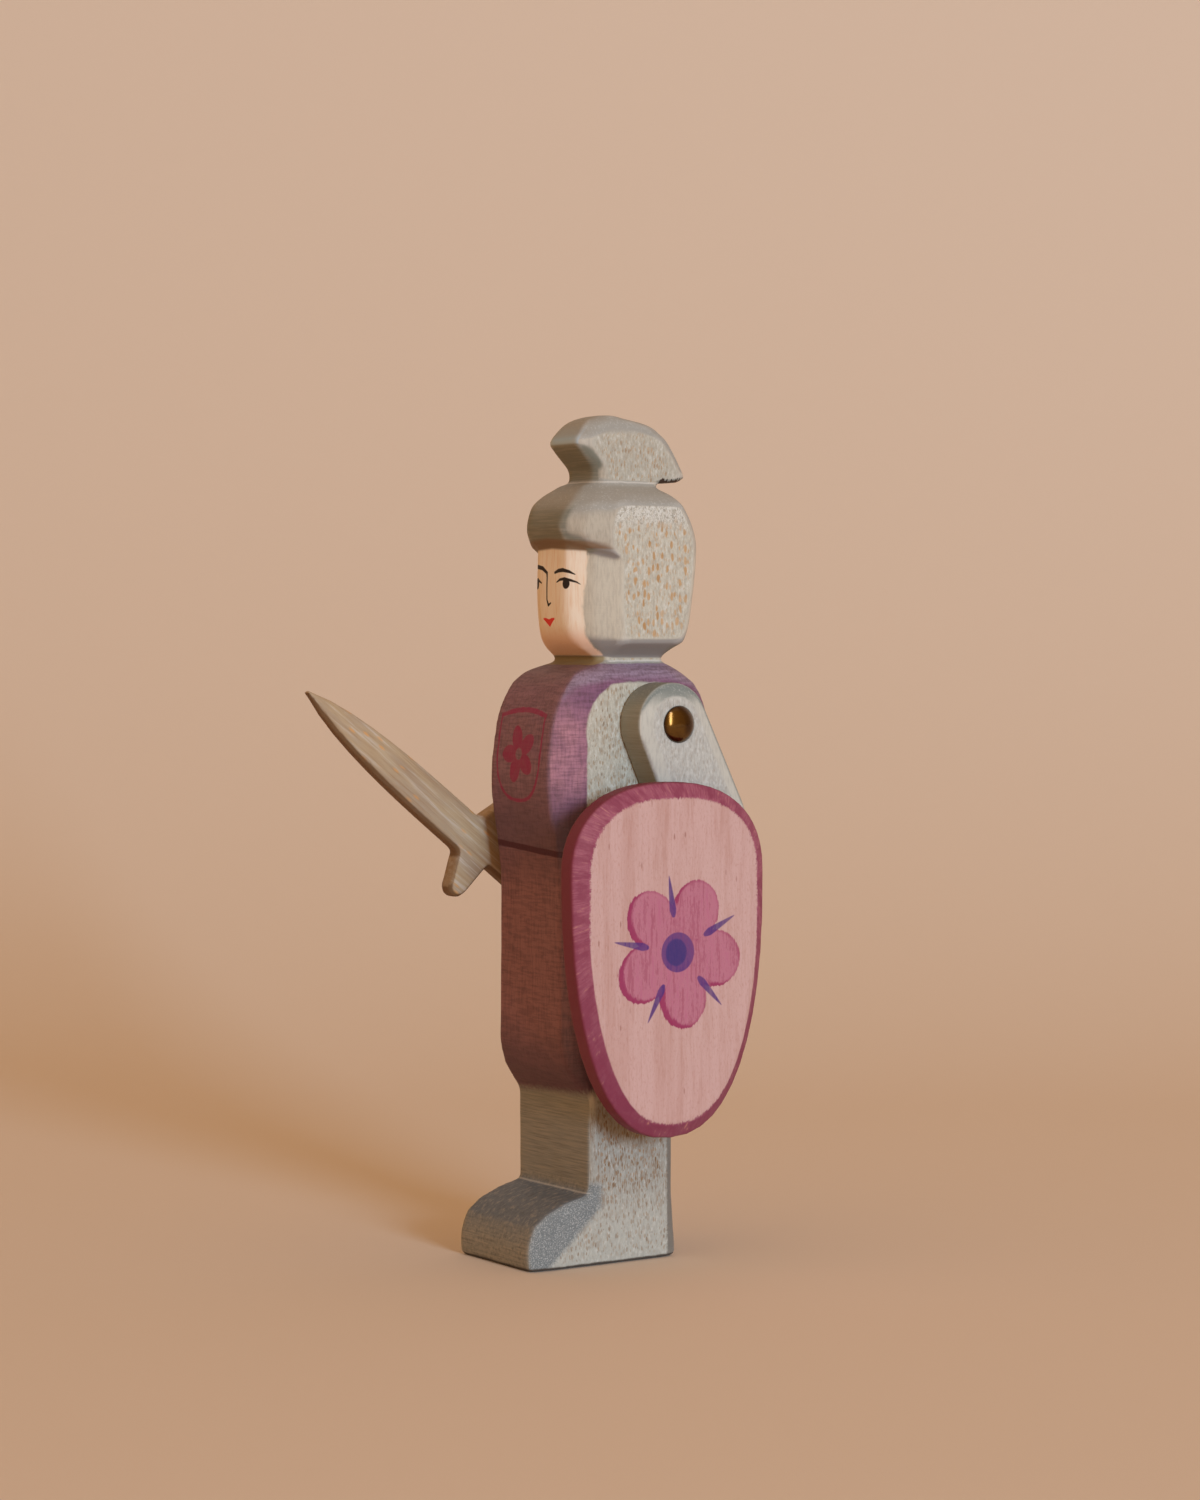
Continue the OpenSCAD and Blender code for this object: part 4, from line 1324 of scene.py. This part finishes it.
@dataclass(frozen=True)
class Metal:
    """A bare metal with a patchy tarnish, darker towards the wood it sits on as tarnish and as painted
    dark reflection.

    Attributes:
        name: The material's name.
        bright: Colour of the polished metal.
        tarnish: Colour of the tarnish, also used for the painted dark reflection.
        rough: Roughness of the polished metal.
        patch: Number of tarnished patches to a millimetre.
        seat: Distance of its seat from the figure's middle.
        clean: Distance from the figure's middle beyond which only patches are tarnished.
        lacquer: How much of a clear lacquer lies over it.
        dark: How much darker it is towards the top and the back, as painted dark reflection.
        mid_y: Place of its middle, towards the back.
        mid_z: Height of its middle.
    """

    name: str
    bright: Colour
    tarnish: Colour
    rough: float
    patch: float = 0.9
    seat: float = 0.0
    clean: float = 0.1
    lacquer: float = 0.0
    dark: float = 0.0
    mid_y: float = 5.3
    mid_z: float = 101.3

    def material(self) -> bpy.types.Material:
        """Mixes the metal into a material."""
        paint = Paint(self.name)
        spot = Spot.read(paint)
        place = paint.point(spot.x * self.patch, spot.y * self.patch, spot.z * self.patch)
        dull = paint.cloud(place, 4, 0.6)
        brushed = paint.cloud(paint.point(spot.x * 2, spot.y * 7, spot.z * 2), 3, 0.6)
        # Darker towards the seat: tarnish and painted dark reflection; elsewhere tarnished in patches.
        low = abs(spot.x).step(self.clean, self.seat)
        colour = paint.blend(self.bright, self.tarnish, (dull.step(0.42, 0.75) * 0.6).most(low))
        # Painted dark reflection: darker towards the top and the back.
        back = (spot.y - self.mid_y) + (spot.z - self.mid_z) * 0.6 + (dull - 0.5) * 3
        colour = paint.blend(colour, self.tarnish, back.step(-1.8, 1.6) * self.dark)
        rough = self.rough + 0.14 * dull.step(0.4, 0.8) + 0.05 * brushed
        return Coat(colour, rough, brushed * 0.002).dry(1, self.lacquer)


STEEL = Metal(
    "nail_steel", bright=paint_colour(190, 190, 188), tarnish=paint_colour(130, 128, 124), rough=0.3,
)
# Dark antique brass, whose dark colour also stands for the dark room it mirrors: painted dark reflection.
BRASS = Metal(
    "brass_dome", bright=paint_colour(118, 91, 42), tarnish=paint_colour(64, 39, 12), rough=0.14,
    patch=0.45, seat=20.4, clean=21.2, lacquer=0.5, dark=0.9,
)


@dataclass(frozen=True)
class BareWood:
    """Bare turned wood of the dowels.

    Attributes:
        pale: Colour of the wood.
        grain: Colour of its grain.
    """

    pale: Colour = paint_colour(214, 180, 138)
    grain: Colour = paint_colour(182, 140, 96)

    def material(self) -> bpy.types.Material:
        """Mixes the wood into a material."""
        paint = Paint("bare_wood")
        spot = Spot.read(paint)
        fibre = paint.cloud(paint.point(spot.x * 0.2, spot.y * 3, spot.z * 3), 3, 0.6)
        colour = paint.blend(self.pale, self.grain, fibre.step(0.4, 0.7))
        return Coat(colour, 0.6 + 0.1 * fibre, fibre * 0.02).dry()


class Side(Enum):
    """The figure's own left or right."""

    LEFT = 1
    RIGHT = -1

    @property
    def word(self) -> str:
        """The side's name in the frame."""
        return self.name.lower()


def smooth(bm: bmesh.types.BMesh, verts: list[bmesh.types.BMVert], passes: int) -> None:
    """Rubs over vertices with sandpaper.

    Args:
        bm: The mesh.
        verts: The vertices.
        passes: How often they are rubbed.
    """
    for _ in range(passes):
        bmesh.ops.smooth_vert(
            bm, verts=verts, factor=0.5, use_axis_x=True, use_axis_y=True, use_axis_z=True)


def note_surface(bm: bmesh.types.BMesh, passes: int = 10) -> None:
    """Notes on each vertex how the surface faces and how far it stands out on an edge.

    Args:
        bm: The mesh.
        passes: Passes of smoothing that the edges are measured against.
    """
    facing = bm.verts.layers.float_vector.new("facing")
    ridge = bm.verts.layers.float.new("ridge")
    bm.normal_update()
    kept = [vert.co.copy() for vert in bm.verts]
    smooth(bm, bm.verts[:], passes)
    for vert, place in zip(bm.verts, kept):
        vert[facing] = vert.normal
        vert[ridge] = (place - vert.co).dot(vert.normal) / MM
        vert.co = place


@dataclass
class Piece:
    """A piece of the knight that takes its place and size from a node of the frame.

    Attributes:
        node: The node that it stands for.
        body: The body that it rides on.
        slot: The finish that the record names for it; not used.
        finish: Its material.
    """

    node: str
    body: str
    slot: str
    finish: bpy.types.Material

    def place(self, bm: bmesh.types.BMesh) -> bpy.types.Object:
        """Makes the finished object, which stands for the node.

        Args:
            bm: The piece's mesh, which is freed.

        Returns:
            The object.
        """
        mesh = bpy.data.meshes.new(self.node + "_piece")
        bm.to_mesh(mesh)
        bm.free()
        mesh.shade_smooth()
        mesh.materials.append(self.finish)
        made = bpy.data.objects.new(self.node + "_piece", mesh)
        bpy.context.scene.collection.objects.link(made)
        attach(made, self.body)
        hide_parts(self.node)
        log.info("%s: %d faces, rides on %s", made.name, len(mesh.polygons), self.body)
        return made


@dataclass
class WoodenPiece(Piece):
    """A piece of wood, sanded by hand after it was sawn.

    Attributes:
        voxel: Size of the faces of the sanded surface.
        sanding: Passes of smoothing over the sawn edges.
        merge: Distance below which vertices of the node's mesh are one.
    """

    voxel: float
    sanding: int
    merge: float = 0.002

    def sawn(self) -> bmesh.types.BMesh:
        """The sawn blank: a merged copy of the node's mesh."""
        bm = bmesh.new()
        bm.from_mesh(frame["nodes"][self.node].data)
        bmesh.ops.remove_doubles(bm, verts=bm.verts, dist=self.merge * MM)
        return bm

    def sanded(self, bm: bmesh.types.BMesh) -> bmesh.types.BMesh:
        """Gives the blank an even, finely faced surface and takes off its sharp edges.

        Args:
            bm: The sawn blank, which is freed.

        Returns:
            The sanded piece.
        """
        mesh = bpy.data.meshes.new(self.node + "_blank")
        bm.to_mesh(mesh)
        bm.free()
        blank = bpy.data.objects.new(mesh.name, mesh)
        bpy.context.scene.collection.objects.link(blank)
        even = blank.modifiers.new("even", "REMESH")
        even.mode = "VOXEL"
        even.voxel_size = self.voxel * MM
        shaped = blank.evaluated_get(bpy.context.evaluated_depsgraph_get())
        fine = bmesh.new()
        fine.from_mesh(shaped.to_mesh())
        bpy.data.objects.remove(blank)
        bpy.data.meshes.remove(mesh)
        smooth(fine, fine.verts[:], self.sanding)
        return fine


@dataclass
class PlankFigure(WoodenPiece):
    """Feet, legs, tunic, head, helmet and crest from one plank.

    Attributes:
        hole_r: Radius of the nails' holes.
        slack: How far beyond that radius a hole's wall may lie.
        carving: Depth of the unevenness that the knife left.
        wave: Length of its longer waves.
        dent: Length of its shorter waves.
        face_low: Height of the face's lower end.
        face_high: Height below which the face is rounded.
        face_back: Where the rounded face ends, towards the back.
        face_sanding: Passes of smoothing over the face.
        dome_low: Height above which the helmet is rounded.
        dome_high: Height of the helmet's top.
        dome_sanding: Passes of smoothing over the helmet's top.
    """

    hole_r: float = 1.0
    slack: float = 0.05
    carving: float = 0.12
    wave: float = 9.0
    dent: float = 4.0
    face_low: float = 115.5
    face_high: float = 130.5
    face_back: float = -3.0
    face_sanding: int = 24
    dome_low: float = 137.5
    dome_high: float = 145.8
    dome_sanding: int = 9

    def make(self) -> bpy.types.Object:
        """Carves and paints the figure."""
        bm = self.sawn()
        self.plug_nail_holes(bm)
        bm = self.sanded(bm)
        self.round_head(bm)
        self.carve(bm)
        note_surface(bm)
        return self.place(bm)

    def plug_nail_holes(self, bm: bmesh.types.BMesh) -> None:
        """Closes the holes that the nails fill.

        Args:
            bm: The sawn blank.
        """
        pivot = Vector(frame["joints"][0]["pos_m"])
        reach = (self.hole_r + self.slack) * MM
        inside = [
            face for face in bm.faces
            if all(math.hypot(v.co.y - pivot.y, v.co.z - pivot.z) < reach for v in face.verts)
        ]
        bmesh.ops.delete(bm, geom=inside, context="FACES")
        open_edges = [edge for edge in bm.edges if edge.is_boundary]
        bmesh.ops.holes_fill(bm, edges=open_edges, sides=0)

    def round_head(self, bm: bmesh.types.BMesh) -> None:
        """Rounds the edges of the face and of the helmet's top.

        Args:
            bm: The sanded figure.
        """
        face = [
            vert for vert in bm.verts
            if vert.co.y < self.face_back * MM and self.face_low * MM < vert.co.z < self.face_high * MM
        ]
        smooth(bm, face, self.face_sanding)
        dome = [vert for vert in bm.verts if self.dome_low * MM < vert.co.z < self.dome_high * MM]
        smooth(bm, dome, self.dome_sanding)

    def carve(self, bm: bmesh.types.BMesh) -> None:
        """Leaves the gentle unevenness of a knife, always inwards.

        Args:
            bm: The sanded figure.
        """
        bm.normal_update()
        for vert in bm.verts:
            wave = noise.noise(vert.co / (self.wave * MM))
            wave += 0.5 * noise.noise(vert.co / (self.dent * MM))
            depth = max(0.0, min(1.0, 0.5 + 0.5 * wave))
            vert.co -= vert.normal * (self.carving * MM * depth)


@dataclass
class SawnPiece(WoodenPiece):
    """An arm, the shield or the sword: a board that is sanded and painted as it was sawn."""

    def make(self) -> bpy.types.Object:
        """Sands and paints the piece."""
        bm = self.sanded(self.sawn())
        note_surface(bm)
        return self.place(bm)


@dataclass
class NailDome(Piece):
    """The hollow brass dome over a nail's head.

    Attributes:
        side: The side of the figure.
        wall: Thickness of the brass.
        rounds: Steps round the dome.
        steps: Steps from its rim to its top.
        seam: Distance below which vertices of a seam are one.
    """

    side: Side = Side.LEFT
    wall: float = 0.45
    rounds: int = 64
    steps: int = 14
    seam: float = 0.005

    def make(self) -> bpy.types.Object:
        """Spins and polishes the dome."""
        low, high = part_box(self.node)
        radius = (high.y - low.y) / 2
        height = high.x - low.x
        seat = low.x if self.side is Side.LEFT else high.x
        ball = (radius * radius + height * height) / (2 * height)
        middle = (low + high) / 2
        middle.x = seat + self.side.value * (height - ball)
        bm = bmesh.new()
        sweep = math.asin(radius / ball)
        for shell in (ball, ball - self.wall * MM):
            top = bm.verts.new(middle + Vector((self.side.value * shell, 0, 0)))
            bmesh.ops.spin(
                bm, geom=[top], cent=middle, axis=(0, 0, self.side.value), angle=sweep, steps=self.steps)
        ends = sorted(bm.verts, key=lambda v: abs(v.co.x - seat))[:2]
        bm.edges.new(ends)
        bmesh.ops.spin(
            bm, geom=bm.verts[:] + bm.edges[:], cent=middle, axis=(1, 0, 0), angle=2 * math.pi,
            steps=self.rounds, use_merge=True)
        bmesh.ops.remove_doubles(bm, verts=bm.verts, dist=self.seam * MM)
        bmesh.ops.recalc_face_normals(bm, faces=bm.faces)
        note_surface(bm, 0)
        return self.place(bm)


@dataclass(frozen=True)
class Studio:
    """Backdrop, lamps and camera.

    Attributes:
        paper: Colour of the seamless paper.
        paper_half: Half of the paper's width.
        paper_front: Where the paper starts, towards the back.
        paper_back: Where it starts to curl up.
        paper_round: Radius of its curl.
        paper_top: Height of its wall above the curl.
        room: Colour of the room's light.
        window: Colour of the window's light.
        ceiling: Colour of the light from above.
        strip: Colour of the strip of light that only polished pieces show.
        azimuth: Turn of the camera round the figure, from straight ahead of its face.
        distance: Distance of the camera from the figure.
        eye: Height of the camera.
        lens: Focal length.
        sensor: Height of the picture in the camera.
        turn: How far the camera looks past the figure's middle, in degrees.
        tilt: How far the camera looks up, in degrees.
        window_turn: Turn of the window round the figure, in degrees.
        window_up: Height of the window's light above level, in degrees.
        window_far: Distance of the window.
        window_size: Size of the window.
        window_light: Power of the window's light, in watts.
        ceiling_up: Height of the light from above.
        ceiling_size: Size of the light from above.
        ceiling_light: Power of the light from above, in watts.
        strip_turn: Turn of the strip of light round the figure, in degrees.
        strip_up: Height of the strip's middle above level, in degrees.
        strip_far: Distance of the strip.
        strip_size: Width and height of the strip.
        strip_light: Power of the strip's light, in watts.
        room_light: Strength of the room's light.
    """

    paper: Colour = paint_colour(226, 207, 187)
    paper_half: float = 3000.0
    paper_front: float = -1500.0
    paper_back: float = 200.0
    paper_round: float = 800.0
    paper_top: float = 3000.0
    room: Colour = (1.0, 0.585, 0.245)
    window: Colour = (0.52, 0.74, 1.0)
    ceiling: Colour = (0.86, 0.93, 1.0)
    strip: Colour = (1.0, 0.92, 0.8)
    azimuth: float = 56.0
    distance: float = 642.0
    eye: float = 116.8
    lens: float = 80.88
    sensor: float = 36.0
    turn: float = -0.095
    tilt: float = -1.85
    window_turn: float = 84.0
    window_up: float = 13.0
    window_far: float = 3200.0
    window_size: float = 800.0
    window_light: float = 87.0
    ceiling_up: float = 1500.0
    ceiling_size: float = 1200.0
    ceiling_light: float = 0.7
    strip_turn: float = 52.0
    strip_up: float = 33.0
    strip_far: float = 1600.0
    strip_size: tuple[float, float] = (280.0, 2000.0)
    strip_light: float = 16.0
    room_light: float = 0.55

    def make(self) -> None:
        """Sets everything up round the figure."""
        self.backdrop()
        self.lamps()
        self.camera()
        bpy.context.scene.view_settings.view_transform = "Standard"

    def away(self, turn: float, up: float = 0) -> Vector:
        """A direction away from the figure.

        Args:
            turn: Turn round the figure from straight ahead of its face, in degrees.
            up: Angle above level, in degrees.

        Returns:
            The direction, of length 1.
        """
        angle, rise = math.radians(turn), math.radians(up)
        level = Vector((math.sin(angle), -math.cos(angle), 0))
        return level * math.cos(rise) + Vector((0, 0, math.sin(rise)))

    def backdrop(self) -> None:
        """Lays seamless paper under the figure and up behind it."""
        half, front, back = self.paper_half * MM, self.paper_front * MM, self.paper_back * MM
        radius, top = self.paper_round * MM, self.paper_top * MM
        bm = bmesh.new()
        edge = bm.edges.new([bm.verts.new((x, front, 0)) for x in (-half, half)])
        floor = bmesh.ops.extrude_edge_only(bm, edges=[edge])["geom"]
        corners = [v for v in floor if isinstance(v, bmesh.types.BMVert)]
        bmesh.ops.translate(bm, verts=corners, vec=(0, back - front, 0))
        sides = [e for e in floor if isinstance(e, bmesh.types.BMEdge)]
        far = [e for e in sides if all(v.co.y > front + 0.1 for v in e.verts)]
        curl = bmesh.ops.spin(
            bm, geom=far, cent=(0, back, radius), axis=(1, 0, 0), angle=math.pi / 2, steps=32)["geom_last"]
        wall = bmesh.ops.extrude_edge_only(
            bm, edges=[e for e in curl if isinstance(e, bmesh.types.BMEdge)])["geom"]
        corners = [v for v in wall if isinstance(v, bmesh.types.BMVert)]
        bmesh.ops.translate(bm, verts=corners, vec=(0, 0, top))
        bmesh.ops.rotate(bm, verts=bm.verts, matrix=Matrix.Rotation(math.radians(self.azimuth), 3, "Z"))
        bmesh.ops.recalc_face_normals(bm, faces=bm.faces)
        mesh = bpy.data.meshes.new("paper")
        bm.to_mesh(mesh)
        bm.free()
        mesh.shade_smooth()
        paint = Paint("paper")
        shader = paint.node(
            "ShaderNodeBsdfPrincipled", None,
            {"Base Color": self.paper, "Roughness": 0.9, "Specular IOR Level": 0.1},
        )
        mesh.materials.append(paint.end(shader))
        paper = bpy.data.objects.new("paper", mesh)
        bpy.context.scene.collection.objects.link(paper)

    def lamps(self) -> None:
        """Sets the window at the figure's left, and the light of the room."""
        pane = (self.window_size, self.window_size)
        towards = self.away(self.window_turn, self.window_up)
        window = self.lamp("window", towards * self.window_far, pane, self.window_light, self.window)
        window.visible_glossy = False
        panel = (self.ceiling_size, self.ceiling_size)
        above = Vector((0, 0, self.ceiling_up))
        self.lamp("ceiling", above, panel, self.ceiling_light, self.ceiling)
        towards = self.away(self.strip_turn, self.strip_up)
        strip = self.lamp("strip", towards * self.strip_far, self.strip_size, self.strip_light, self.strip)
        strip.visible_diffuse = False
        world = bpy.data.worlds.new("room")
        world.use_nodes = True
        room = world.node_tree.nodes["Background"]
        room.inputs["Color"].default_value = (*self.room, 1)
        room.inputs["Strength"].default_value = self.room_light
        bpy.context.scene.world = world

    def lamp(
        self, name: str, place: Vector, size: tuple[float, float], power: float, colour: Colour,
    ) -> bpy.types.Object:
        """Hangs a soft lamp that faces the figure.

        Args:
            name: The lamp's name.
            place: Where it hangs.
            size: Its width and height.
            power: Its power, in watts.
            colour: Its colour.

        Returns:
            The lamp.
        """
        light = bpy.data.lights.new(name, "AREA")
        light.shape = "RECTANGLE"
        light.size = size[0] * MM
        light.size_y = size[1] * MM
        light.energy = power
        light.color = colour
        lamp = bpy.data.objects.new(name, light)
        lamp.location = place * MM
        lamp.rotation_euler = place.to_track_quat("Z", "Y").to_euler()
        bpy.context.scene.collection.objects.link(lamp)
        return lamp

    def camera(self) -> None:
        """Puts the camera where the picture was taken from."""
        eye = bpy.data.cameras.new("camera")
        eye.sensor_fit = "VERTICAL"
        eye.sensor_height = self.sensor
        eye.lens = self.lens
        eye.clip_start = 0.01
        camera = bpy.data.objects.new("camera", eye)
        camera.location = self.away(self.azimuth) * self.distance * MM + Vector((0, 0, self.eye * MM))
        camera.rotation_euler = (
            math.radians(90 + self.tilt), 0, math.radians(self.azimuth + self.turn))
        bpy.context.scene.collection.objects.link(camera)
        bpy.context.scene.camera = camera


def dress_hidden_pieces() -> None:
    """Gives the nails and dowels, which keep their shapes, their finishes."""
    steel = STEEL.material()
    bare = BareWood().material()
    for name, material in (("left_nail", steel), ("right_nail", steel), ("shield_dowels", bare)):
        node = frame["nodes"][name]
        node.data.materials.clear()
        node.data.materials.append(material)
        log.info("%s: keeps its shape", name)


def main() -> None:
    """Builds the knight piece by piece, and the studio round it."""
    Studio().make()
    wash = ArmPaint().material()
    brass = BRASS.material()
    PlankFigure("body", "figure", "painted_body", BodyPaint().material(), voxel=0.47, sanding=4).make()
    for side in Side:
        arm = side.word + "_arm"
        SawnPiece(arm, arm, "silver_wood", wash, voxel=0.3, sanding=4).make()
        NailDome(side.word + "_nail_cap", "figure", "brass_dome", brass, side=side).make()
    board = ShieldPaint().material(ShieldOutline.of_board("shield"))
    SawnPiece("shield", "left_arm", "shield_paint", board, voxel=0.36, sanding=3).make()
    SawnPiece("sword", "right_arm", "sword_wood", SwordWood().material(), voxel=0.25, sanding=4).make()
    dress_hidden_pieces()


if __name__ == "__main__":
    main()
